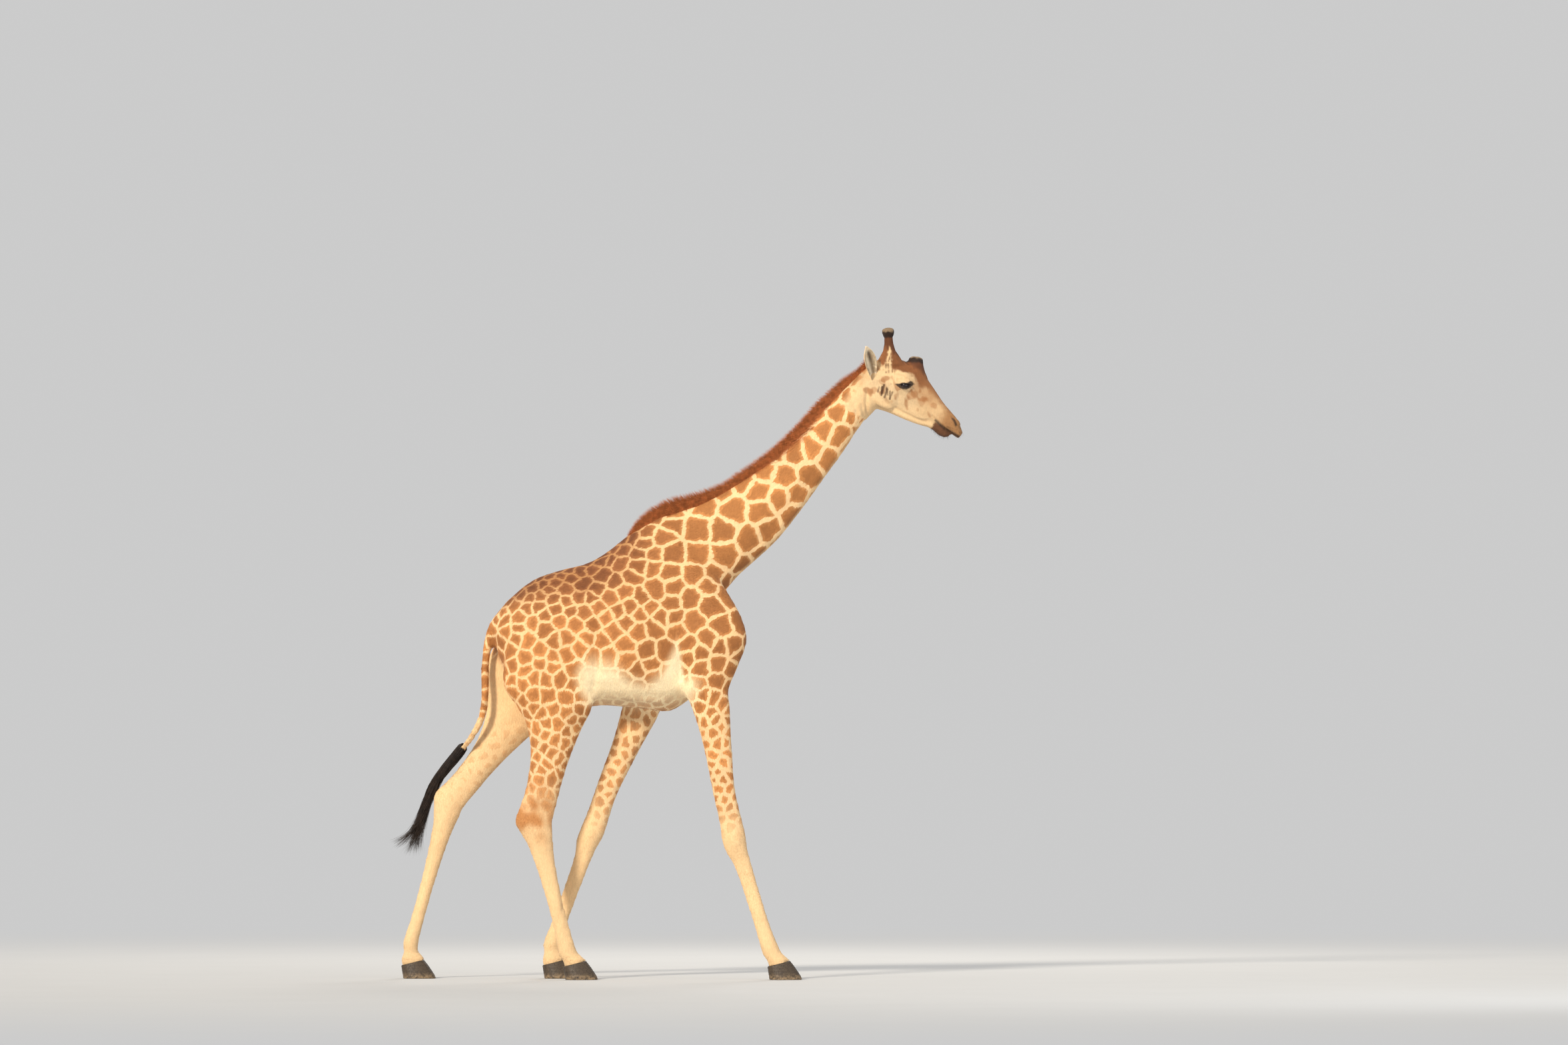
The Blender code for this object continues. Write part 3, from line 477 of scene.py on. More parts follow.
BODY_FOLDS = (
    Fold(((-0.03, 2.80), (0.09, 2.56), (0.22, 2.28)), 0.045, 0.012),  # spine of the shoulder blade
    Fold(((0.06, 2.72), (0.20, 2.50), (0.32, 2.30)), 0.030, -0.006),  # hollow in front of it
    Fold(((0.20, 2.30), (0.33, 2.22), (0.37, 2.10)), 0.050, 0.012),  # point of the shoulder
    Fold(((-0.02, 2.20), (0.00, 2.09), (0.03, 1.97), (0.03, 1.86)), 0.018, -0.016, (-1,)),  # behind the arm
    Fold(((-0.25, 2.15), (-0.22, 1.98), (-0.15, 1.82)), 0.022, -0.012, (1,)),
    Fold(((0.03, 2.05), (0.05, 1.93), (0.07, 1.80)), 0.035, 0.010, (-1,)),  # the elbow's muscle
    Fold(((0.11, 2.14), (0.16, 1.98), (0.20, 1.80)), 0.022, -0.006, (-1,)),
    Fold(((-0.49, 2.22), (-0.50, 2.05), (-0.49, 1.88), (-0.52, 1.76)), 0.016, -0.014),  # flank fold
    Fold(((-0.52, 2.24), (-0.545, 2.05), (-0.54, 1.88)), 0.030, 0.010),
    Fold(((-0.50, 2.40), (-0.56, 2.35), (-0.60, 2.31)), 0.030, 0.014),  # point of the hip
    Fold(((-0.46, 2.32), (-0.44, 2.22), (-0.45, 2.12)), 0.050, -0.014),  # hollow of the flank
    Fold(((-0.66, 2.30), (-0.78, 2.20), (-0.93, 2.16)), 0.035, -0.006),  # between rump muscles
    Fold(((-0.98, 2.14), (-0.97, 1.98), (-0.90, 1.80)), 0.026, -0.009),  # hamstring groove
    Fold(((-0.62, 1.80), (-0.66, 1.66), (-0.70, 1.56)), 0.045, 0.010, (-1,)),  # stifle
    Fold(((-0.78, 1.75), (-0.83, 1.45), (-0.88, 1.15)), 0.020, -0.008, (-1,)),
    Fold(((-0.95, 1.30), (-0.955, 1.12), (-0.955, 1.02)), 0.014, 0.008, (-1,)),  # heel tendon
    Fold(((-0.915, 1.32), (-0.92, 1.14), (-0.915, 1.06)), 0.016, -0.010, (-1,)),
    Fold(((-1.20, 1.45), (-1.36, 1.28), (-1.46, 1.14)), 0.014, -0.008, (1, -1)),
    Fold(((-0.86, 0.98), (-0.84, 0.92), (-0.80, 0.84)), 0.030, 0.007),  # hock bones
    Fold(((-1.40, 1.10), (-1.42, 1.02), (-1.45, 0.94)), 0.030, 0.006),
    Fold(((-0.76, 0.86), (-0.71, 0.55), (-0.665, 0.25)), 0.010, -0.005),  # beside the cannon's tendons
    Fold(((-1.50, 0.88), (-1.58, 0.55), (-1.655, 0.27)), 0.010, -0.005),
    Fold(((0.375, 0.78), (0.45, 0.55), (0.545, 0.27)), 0.010, -0.005),
    Fold(((-0.575, 0.80), (-0.66, 0.55), (-0.755, 0.27)), 0.010, -0.005),
    Fold(((0.33, 0.93), (0.36, 0.86), (0.39, 0.80)), 0.028, 0.011, (-1,)),  # knee bones
    Fold(((0.26, 1.60), (0.30, 1.30), (0.335, 1.02)), 0.016, -0.007, (-1,)),  # forearm muscles
    Fold(((-0.30, 1.60), (-0.40, 1.30), (-0.47, 1.05)), 0.016, -0.007, (1,)),
    Fold(((-0.42, 1.72), (-0.20, 1.68), (-0.08, 1.68), (0.00, 1.74)), 0.016, -0.008),  # belly's edge
    Fold(((0.30, 2.38), (0.50, 2.68), (0.70, 2.92), (0.92, 3.22)), 0.022, -0.006),  # jugular groove
    Fold(((0.12, 2.72), (0.34, 2.86), (0.62, 3.08), (0.88, 3.38)), 0.040, -0.006),  # above the neck bones
    Fold(((0.20, 2.55), (0.42, 2.76), (0.66, 3.00), (0.90, 3.30)), 0.040, 0.006),
    Fold(((1.17, 3.62), (1.165, 3.52), (1.18, 3.43)), 0.010, -0.015),  # where the jaw meets the throat
    Fold(((1.135, 3.56), (1.145, 3.49), (1.165, 3.43)), 0.006, -0.005),
    Fold(((1.155, 3.54), (1.16, 3.49), (1.175, 3.44)), 0.006, 0.004),
    Fold(((1.115, 3.54), (1.125, 3.48), (1.148, 3.42)), 0.006, 0.004),
    Fold(((1.095, 3.54), (1.105, 3.48), (1.13, 3.41)), 0.006, -0.004),
    Fold(((1.055, 3.56), (1.058, 3.48)), 0.005, -0.003),
    Fold(((1.035, 3.56), (1.038, 3.49)), 0.005, -0.003),
)

FACE_FOLDS = (
    Fold(((0.150, 0.020), (0.300, 0.010), (0.400, 0.008)), 0.010, 0.0055),  # cheek bone
    Fold(((0.300, 0.050), (0.400, 0.046), (0.480, 0.040)), 0.014, -0.005),
    Fold(((0.245, 0.110), (0.330, 0.115), (0.450, 0.082)), 0.012, 0.003),
    Fold(((0.100, -0.120), (0.230, -0.122), (0.330, -0.110), (0.450, -0.082)), 0.010, 0.005),
    Fold(((0.150, -0.092), (0.250, -0.096), (0.360, -0.086), (0.450, -0.062)), 0.007, -0.005),
    Fold(((0.230, -0.006), (0.240, -0.060), (0.235, -0.100)), 0.010, -0.003),  # chewing muscle
    Fold(((0.140, 0.095), (0.180, 0.112), (0.240, 0.106), (0.268, 0.086)), 0.009, 0.005),
    Fold(((0.120, 0.060), (0.150, 0.020), (0.150, -0.020)), 0.012, -0.004),  # temple
    Fold(((0.070, 0.120), (0.110, 0.085), (0.140, 0.065)), 0.012, -0.004),
    Fold(((0.256, 0.030), (0.276, 0.022), (0.300, 0.022)), 0.004, -0.003),  # tear groove
    Fold(((0.470, -0.010), (0.530, -0.026), (0.580, -0.031), (0.640, -0.030), (0.682, -0.026)),
         0.0050, -0.0100),  # mouth
    Fold(((0.480, 0.002), (0.540, -0.012), (0.600, -0.016), (0.660, -0.014)), 0.007, 0.0035),
    Fold(((0.500, -0.040), (0.560, -0.046), (0.600, -0.046)), 0.007, 0.003),  # lower lip
    Fold(((0.575, 0.052), (0.600, 0.043), (0.626, 0.024)), 0.0042, -0.0120),  # nostril slit
    Fold(((0.566, 0.064), (0.596, 0.057), (0.628, 0.038)), 0.0060, 0.0045),  # its upper rim
    Fold(((0.574, 0.038), (0.602, 0.028), (0.622, 0.014)), 0.0060, 0.0030),
)


@dataclass
class Skin:
    """The one skin over all the flesh: its fineness, and how deep it lies under the coat's tips."""

    plan: BodyPlan
    voxel: float = 0.0172
    swell: float = 0.0006  # how far each solid is swollen, so that neighbours fuse
    smoothing: int = 14
    body_depth: float = 0.0050
    leg_depth: float = 0.0035
    face_depth: float = 0.0020
    lid_thickness: float = 0.0026
    slit: float = 0.0262  # half the length of the eye's opening
    slit_level: float = 0.0020  # its corners' height over the eye's middle
    upper_arch: float = 0.0052
    lower_arch: float = 0.0160
    eye_reach: float = 0.062  # how far from an eye's middle its lids are shaped
    hole_depth: float = 0.0060  # how far under the eyeball's surface the skin dips in the opening
    obj: Object = field(init=False)

    def built(self, nodes: dict[str, Object]) -> "Skin":
        """Makes the skin's mesh from the solids of flesh and horn.

        Args:
            nodes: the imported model's objects by name.

        Returns:
            This skin, with `obj` in place.
        """
        self.obj, target = self._joined(nodes)
        mesh = self.obj.data
        points = vertices_of(mesh)
        at = self.plan.to_head(points)
        body = (1.0 - 0.75 * self.head_share(at)) * (1.0 - 0.88 * self.tail_share(points))
        moved_to(mesh, evened(mesh, points, PULL_PUSH * self.smoothing, body))
        self._refine(lambda at: ((at[:, 0] > 0.0) | (at[:, 2] > 0.10)) & self.by_head(at), 2)
        self._settle_on(target)
        self._refine(self._near_eye, 1)
        self._set_depth()
        self._carve(BODY_FOLDS)
        self._carve(FACE_FOLDS, in_head=True)
        self._wrap_lids()
        self._open_eyes()
        self._seat_feet()
        shade_smooth(self.obj)
        LOG.info("skin: %d faces", len(self.obj.data.polygons))
        return self

    def _joined(self, nodes: dict[str, Object]) -> tuple[Object, BVHTree]:
        """All solids of flesh and horn as one closed mesh of even squares, and a tree of their faces."""
        bm = bmesh.new()
        for name in (*FLESH, *HORNS, "eye_right", "eye_left"):
            part = bmesh.new()
            part.from_mesh(nodes[name].data)
            bmesh.ops.remove_doubles(part, verts=part.verts, dist=1e-5)
            part.normal_update()
            for vertex in part.verts:
                vertex.co += vertex.normal * self.swell
            copy = bpy.data.meshes.new("part")
            part.to_mesh(copy)
            part.free()
            bm.from_mesh(copy)
            bpy.data.meshes.remove(copy)
        tree = BVHTree.FromBMesh(bm)
        mesh = bpy.data.meshes.new("skin")
        bm.to_mesh(mesh)
        bm.free()
        made = linked("skin", mesh)
        remesh = made.modifiers.new("Even", "REMESH")
        remesh.mode = "VOXEL"
        remesh.voxel_size = self.voxel
        applied(made)
        return self._outer_shell(made), tree

    @staticmethod
    def _outer_shell(obj: Object) -> Object:
        """Keeps only the largest connected surface."""
        edges = edges_of(obj.data)
        label = np.arange(len(obj.data.vertices))
        while True:
            low = np.minimum(label[edges[:, 0]], label[edges[:, 1]])
            after = label.copy()
            np.minimum.at(after, edges[:, 0], low)
            np.minimum.at(after, edges[:, 1], low)
            after = after[after]
            if (after == label).all():
                break
            label = after
        names, sizes = np.unique(label, return_counts=True)
        if len(names) > 1:
            with edited(obj.data) as bm:
                bm.verts.ensure_lookup_table()
                drop = np.flatnonzero(label != names[sizes.argmax()])
                bmesh.ops.delete(bm, geom=[bm.verts[i] for i in drop], context="VERTS")
        return obj

    def tail_share(self, points: Array) -> Array:
        """1 on the tail, 0 away from it."""
        gap, _ = to_path(points, self.plan.placed(TAIL_LINE))
        return ramp(gap, 0.052, 0.040)

    @classmethod
    def head_share(cls, at: Array) -> Array:
        """From 0 on the neck to 1 on head and horns, for points in the head's frame."""
        return np.maximum(ramp(at[:, 0], -0.06, 0.02), ramp(at[:, 2], 0.09, 0.13)) * cls.by_head(at)

    @staticmethod
    def by_head(at: Array) -> Array:
        """Leaves out what lies far under the head, such as the forelegs."""
        return (at[:, 2] > -0.26) & (at[:, 0] < 0.80)

    def _near_eye(self, at: Array) -> Array:
        """Which points in the head's frame are close to an eye."""
        gaps = [np.linalg.norm(at - mirrored(EYE_PLACE, side), axis=1) for side in SIDES.values()]
        cheek = (at[:, 0] > 0.08) & (at[:, 0] < 0.21) & (at[:, 2] > -0.09) & (at[:, 2] < 0.02)
        return ((np.minimum(*gaps) < 0.052) | cheek) & (np.abs(at[:, 1]) > 0.05)

    def _refine(self, wanted: Callable[[Array], Array], rounds: int) -> None:
        """Splits each face in four where the test on points in the head's frame holds."""
        for _ in range(rounds):
            chosen = wanted(self.plan.to_head(vertices_of(self.obj.data)))
            with edited(self.obj.data) as bm:
                edges = [e for e in bm.edges if chosen[e.verts[0].index] and chosen[e.verts[1].index]]
                bmesh.ops.subdivide_edges(bm, edges=edges, cuts=1, use_grid_fill=True)
                bmesh.ops.triangulate(bm, faces=[f for f in bm.faces if len(f.verts) > 4])
            points = vertices_of(self.obj.data)
            share = wanted(self.plan.to_head(points)).astype(float)
            moved_to(self.obj.data, evened(self.obj.data, points, PULL_PUSH * 2, share))

    def _settle_on(self, tree: BVHTree) -> None:
        """Lays the head's points back on the solids, then takes off the facets."""
        mesh = self.obj.data
        points = vertices_of(mesh)
        share = self.head_share(self.plan.to_head(points))
        for i in np.flatnonzero(share > 0.01):
            hit = tree.find_nearest(Vector(points[i]), 0.02)
            if hit[0] is not None:
                points[i] += (np.array(hit[0]) - points[i]) * share[i]
        moved_to(mesh, evened(mesh, points, PULL_PUSH * 9, share))

    def _set_depth(self) -> None:
        """Sinks the skin by the depth of the coat above it."""
        mesh = self.obj.data
        points, normals = vertices_of(mesh), normals_of(mesh)
        at = self.plan.to_head(points)
        depth = np.full(len(points), self.body_depth)
        depth += (self.leg_depth - self.body_depth) * ramp(points[:, 2], 1.5, 1.0)
        depth += (self.face_depth - depth) * self.head_share(at)
        depth *= 1.0 - 0.4 * ramp(points[:, 2], 0.16, 0.10)
        keep_attribute(mesh, "coat_depth", depth)
        fuller = TAIL_FULLNESS * self.tail_share(points) * ramp(points[:, 2], 2.02, 1.85)
        moved_to(mesh, points + normals * (fuller - depth)[:, None])

    def _carve(self, folds: Sequence[Fold], in_head: bool = False) -> None:
        """Raises the ridges and presses in the grooves, each on the side that it names."""
        mesh = self.obj.data
        points, normals = vertices_of(mesh), normals_of(mesh)
        flat = (self.plan.to_head(points) if in_head else points)[:, [0, 2]]
        out = np.zeros(len(points))
        for fold in folds:
            path = np.array(fold.path) if in_head else self.plan.placed(fold.path)
            reach = 3 * fold.width
            near = ((flat > path.min(0) - reach) & (flat < path.max(0) + reach)).all(1)
            near &= np.isin(np.sign(points[:, 1]), fold.sides)
            index = np.flatnonzero(near)
            if not len(index):
                continue
            gap, along = to_path(flat[index], path)
            ends = np.sin(np.pi * np.clip(0.12 + 0.76 * along, 0, 1)) ** 0.6
            facing = ramp(np.abs(normals[index, 1]), 0.05, 0.45)
            out[index] += fold.height * bump(gap, fold.width) * ends * facing
        moved_to(mesh, points + normals * out[:, None])

    def _seat_feet(self) -> None:
        """Widens each leg's end to the hoof's own top, and lets it reach down into the hoof."""
        mesh = self.obj.data
        points = vertices_of(mesh)
        for node in HOOF_NODES:
            middle = hoof_middle(node)
            near = (np.abs(points[:, :2] - middle) < (0.17, 0.12)).all(1) & (points[:, 2] < 0.24)
            end = points[near & (points[:, 2] > 0.103) & (points[:, 2] < 0.122)][:, :2]
            centre, half = (end.max(0) + end.min(0)) / 2, (end.max(0) - end.min(0)) / 2
            wide = middle + (points[:, :2] - centre) * (COLLAR / half)
            share = (near * ramp(points[:, 2], 0.180, 0.112))[:, None]
            points[:, :2] += (wide - points[:, :2]) * share
            points[:, 2] -= 0.030 * near * ramp(points[:, 2], 0.118, 0.098)
        moved_to(mesh, points)

    def opening(self, u: Array, v: Array) -> Array:
        """How far inside the eye's opening a place is: above 0 inside, below 0 on the lids.

        Args:
            u: metres towards the muzzle from the eye's middle.
            v: metres up from it.

        Returns:
            The signed distance, roughly in metres.
        """
        arch = np.sqrt(np.maximum(1.0 - (u / self.slit) ** 2, 0.0))
        above = self.slit_level + self.upper_arch * arch**0.7 - v
        below = v - self.slit_level + self.lower_arch * arch**1.1
        return np.where(np.abs(u) < self.slit, np.minimum(above, below),
                        -np.hypot(np.abs(u) - self.slit, v - self.slit_level))

    def lid_edge(self, side: int, count: int = 96) -> Array:
        """Points round the edge of the lids, on the eyeball's surface."""
        turns = np.linspace(0, 2 * math.pi, count, endpoint=False)
        arch = np.abs(np.sin(turns))
        rise = np.where(np.sin(turns) >= 0, self.upper_arch * arch**0.7, -self.lower_arch * arch**1.1)
        u, v = self.slit * np.cos(turns), self.slit_level + rise
        out = np.sqrt(np.maximum((EYE_RADIUS + 0.0006) ** 2 - u**2 - v**2, 1e-8))
        axes = self.eye_axes(side)
        return self.plan.eye(side) + u[:, None] * axes[0] + v[:, None] * axes[1] + out[:, None] * axes[2]

    def eye_axes(self, side: int) -> Array:
        """Rows: towards the muzzle along the eye's slit, up, and out of the head."""
        out = unit(np.array((0.22, side * 1.0, 0.10)))
        along = unit(np.array((1.0, 0.0, 0.0)) - out * out[0])
        up = np.cross(out, along) * side
        up = up if up[2] > 0 else -up
        return np.array((along, up, out))

    def in_eye(self, points: Array, side: int) -> Array:
        """Points in an eye's own axes: towards the muzzle, up, out of the head."""
        return (points - self.plan.eye(side)) @ self.eye_axes(side).T

    def _around_eye(self, side: int) -> tuple[Array, Array, Array]:
        """The skin's points in an eye's own axes, their distance from its middle, and which are near it."""
        local = self.in_eye(vertices_of(self.obj.data), side)
        distance = np.linalg.norm(local, axis=1)
        return local, distance, (distance < self.eye_reach) & (local[:, 2] > -0.004)

    def _pushed(self, side: int, near: Array, distance: Array, wanted: Array) -> Array:
        """The skin's points, with those near an eye moved to the wanted distances from its middle."""
        points, middle = vertices_of(self.obj.data), self.plan.eye(side)
        ray = (points - middle) * (wanted / np.maximum(distance, 1e-6))[:, None]
        points[near] = middle + ray[near]
        return points

    def _wrap_lids(self) -> None:
        """Draws the skin over the eyeballs, to the lids' thickness, and eases it into the face."""
        mesh, lid = self.obj.data, EYE_RADIUS + self.lid_thickness
        for side in SIDES.values():
            _, distance, near = self._around_eye(side)
            points = self._pushed(side, near, distance, np.maximum(distance, lid))
            moved_to(mesh, evened(mesh, points, PULL_PUSH * 4, near * ramp(distance, 0.060, 0.040)))
            _, distance, near = self._around_eye(side)
            moved_to(mesh, self._pushed(side, near, distance, np.maximum(distance, lid)))

    def _open_eyes(self) -> None:
        """Opens the lids along an almond-shaped slit with a flat upper edge, and folds them."""
        for side in SIDES.values():
            local, distance, near = self._around_eye(side)
            u, v, _ = local.T
            inside, wide = self.opening(u, v), np.abs(u)
            edge, middle = bump(inside + 0.0022, 0.0020), ramp(wide, 0.040, 0.020)
            crease = bump(v - 0.0385 + 3.5 * u**2, 0.0022) * ramp(wide, 0.034, 0.022)
            fold = bump(v - 0.0240 + 2.5 * u**2, 0.0085) * middle
            brow = bump(v - 0.0480 + 3.0 * u**2, 0.0060) * middle * ramp(distance, self.eye_reach, 0.052)
            bag = bump(v + 0.0195 - 5.0 * u**2, 0.0016) * (wide < 0.024)
            relief = 0.0008 * edge - 0.0022 * crease + 0.0052 * fold + 0.0030 * brow - 0.0014 * bag
            wanted = distance + relief * near
            wanted += (EYE_RADIUS - self.hole_depth - wanted) * ramp(inside, -0.0010, 0.0010) * near
            moved_to(self.obj.data, self._pushed(side, near, distance, wanted))


# ---------------------------------------------------------------- markings
def srgb(red: int, green: int, blue: int) -> Array:
    """A colour as it is named on a colour chart, made linear."""
    share = np.array((red, green, blue)) / 255.0
    return np.where(share <= 0.04045, share / 12.92, ((share + 0.055) / 1.055) ** 2.4)


def rgba(red: int, green: int, blue: int) -> tuple:
    """The same as a shader takes it, with full cover."""
    return (*srgb(red, green, blue), 1.0)


class CoatColours:
    """The coat's colours: most are its own; some serve as painted shade and some are brightened as painted
    light.
    """

    cream = srgb(247, 209, 156)
    cream_low = srgb(234, 198, 149)
    cream_warm = srgb(226, 176, 116)
    patch = srgb(200, 134, 74)
    patch_back = srgb(142, 84, 46)
    patch_leg = srgb(198, 134, 76)
    # painted light: the belly's own pale cream made brighter against the shade underneath
    belly = srgb(255, 234, 192)
    forehead = srgb(136, 84, 46)
    horn_brown = srgb(104, 60, 33)
    horn_cap = srgb(150, 126, 98)
    face_pale = srgb(232, 198, 150)
    # painted shade: the grey of the shaded cheeks
    cheek_shade_grey = srgb(204, 178, 142)
    muzzle = srgb(158, 112, 68)
    bridge = srgb(168, 112, 66)
    lip = srgb(104, 66, 40)
    dark = srgb(38, 26, 20)
    # painted light: the ear's cream made brighter against the shade in the cup
    ear = srgb(255, 238, 208)
    ear_hollow = srgb(186, 160, 130)
    dusty = srgb(214, 182, 138)


# The edge of the brown that runs from the nape over the brow to the muzzle, in metres of the head's frame.
BROWN_EDGE = (
    (-0.05, 0.04, 0.10, 0.15, 0.20, 0.24, 0.29, 0.36, 0.45, 0.56),
    (0.090, 0.076, 0.092, 0.110, 0.130, 0.134, 0.097, 0.106, 0.090, 0.060),
)

# A nostril's slit, in metres of the head's frame: along, up.
NOSTRIL = ((0.583, 0.047), (0.600, 0.042), (0.622, 0.026))

# The dark round an eye, dark skin with painted shadow of the lids and lashes over it, in metres of the eye's
# frame: ahead, upper edge, lower edge.
EYE_PATCH = (
    (-0.060, -0.045, -0.030, -0.010, 0.014, 0.024, 0.034, 0.048, 0.064),
    (0.0085, 0.0100, 0.0115, 0.0120, 0.0130, 0.0190, 0.0275, 0.0225, 0.0090),
    (0.0085, -0.0040, -0.0190, -0.0265, -0.0260, -0.0220, -0.0140, -0.0045, 0.0085),
)


@dataclass
class FaceMarks:
    """The small marks of the cheek and temple, in the head's frame: each kind follows a rule of its own."""

    spots: int = 16
    streaks: int = 7
    dash_rows: int = 6
    wedge_top: tuple = (0.018, 0.189)  # where the pale wedge starts, behind the horn's foot
    rng: np.random.Generator = field(default_factory=lambda: np.random.default_rng(12))

    def cheek_spots(self) -> list[tuple]:
        """Soft spots between the brown and the jaw, kept apart: ahead, high, reach, strength."""
        found: list[tuple] = []
        for _ in range(600):
            ahead, high = self.rng.uniform(0.04, 0.46), self.rng.uniform(-0.115, 0.075)
            jaw = np.interp(ahead, (0.04, 0.46), (-0.115, -0.035))
            inside = jaw < high < np.interp(ahead, *BROWN_EDGE) - 0.028
            by_eye = math.hypot(ahead - EYE_PLACE[0], high - EYE_PLACE[2]) < 0.060
            if inside and not by_eye and all(math.hypot(ahead - a, high - h) > 0.043 for a, h, *_ in found):
                found.append((ahead, high, self.rng.uniform(0.012, 0.025), self.rng.uniform(0.35, 0.70)))
            if len(found) == self.spots:
                break
        return found

    def cheek_streaks(self) -> list[tuple[Array, float, float]]:
        """Dark streaks that fan down from behind the eye: path, half width, strength."""
        found = []
        for k in range(self.streaks):
            start = np.array((0.093 + 0.0145 * k, -0.034 + 0.003 * k))
            start += self.rng.uniform((-0.006, -0.012), (0.006, 0.012))
            lean = math.radians(self.rng.uniform(44, 82))
            end = start + self.rng.uniform(0.020, 0.056) * np.array((math.cos(lean), -math.sin(lean)))
            width, strength = self.rng.uniform(0.0045, 0.0060), self.rng.uniform(0.55, 0.95)
            found.append((np.array((start, end)), width, strength))
        return found

    def horn_dashes(self) -> list[Array]:
        """Dark dashes in rows down the pale wedge below the horn: the path of each."""
        down, across = np.array((0.56, -0.83)), np.array((0.83, 0.56))
        found = []
        for row in range(self.dash_rows):
            count = min(2 + row, 4)
            for k in range(count):
                sideways = 0.0175 * (k - (count - 1) / 2) + 0.002 * row
                start = np.array(self.wedge_top) + down * (0.030 + 0.021 * row) + across * sideways
                start += self.rng.uniform(-0.004, 0.004, 2)
                found.append(np.array((start, start + down * self.rng.uniform(0.010, 0.015))))
        return found


class Zone(Enum):
    """Where on the animal a measure holds."""

    NAPE = "nape"
    NECK = "neck"
    SHOULDER = "shoulder"
    BACK = "back"
    FLANK = "flank"
    THIGH = "thigh"
    LEG = "leg"
    SHIN = "shin"


@dataclass(frozen=True)
class ZoneStyle:
    """What the markings and hair are like in a zone."""

    middle: tuple  # (x, z) about which the zone lies
    reach: float
    spacing: float  # from one patch to the next
    half_gap: float  # half the pale line between two patches
    redness: float  # 0 as on the neck, 1 as on the back


ZONE_STYLES = {
    Zone.NAPE: ZoneStyle((1.05, 3.52), 0.20, 0.090, 0.0100, 0.10),
    Zone.NECK: ZoneStyle((0.62, 3.05), 0.45, 0.150, 0.0140, 0.00),
    Zone.SHOULDER: ZoneStyle((0.05, 2.30), 0.35, 0.110, 0.0100, 0.35),
    Zone.BACK: ZoneStyle((-0.55, 2.55), 0.30, 0.078, 0.0070, 1.00),
    Zone.FLANK: ZoneStyle((-0.35, 2.00), 0.30, 0.105, 0.0090, 0.25),
    Zone.THIGH: ZoneStyle((-0.80, 1.95), 0.35, 0.090, 0.0080, 0.20),
    Zone.LEG: ZoneStyle((-0.40, 1.35), 0.60, 0.066, 0.0080, 0.00),
    Zone.SHIN: ZoneStyle((-0.40, 0.90), 0.40, 0.056, 0.0080, 0.00),
}


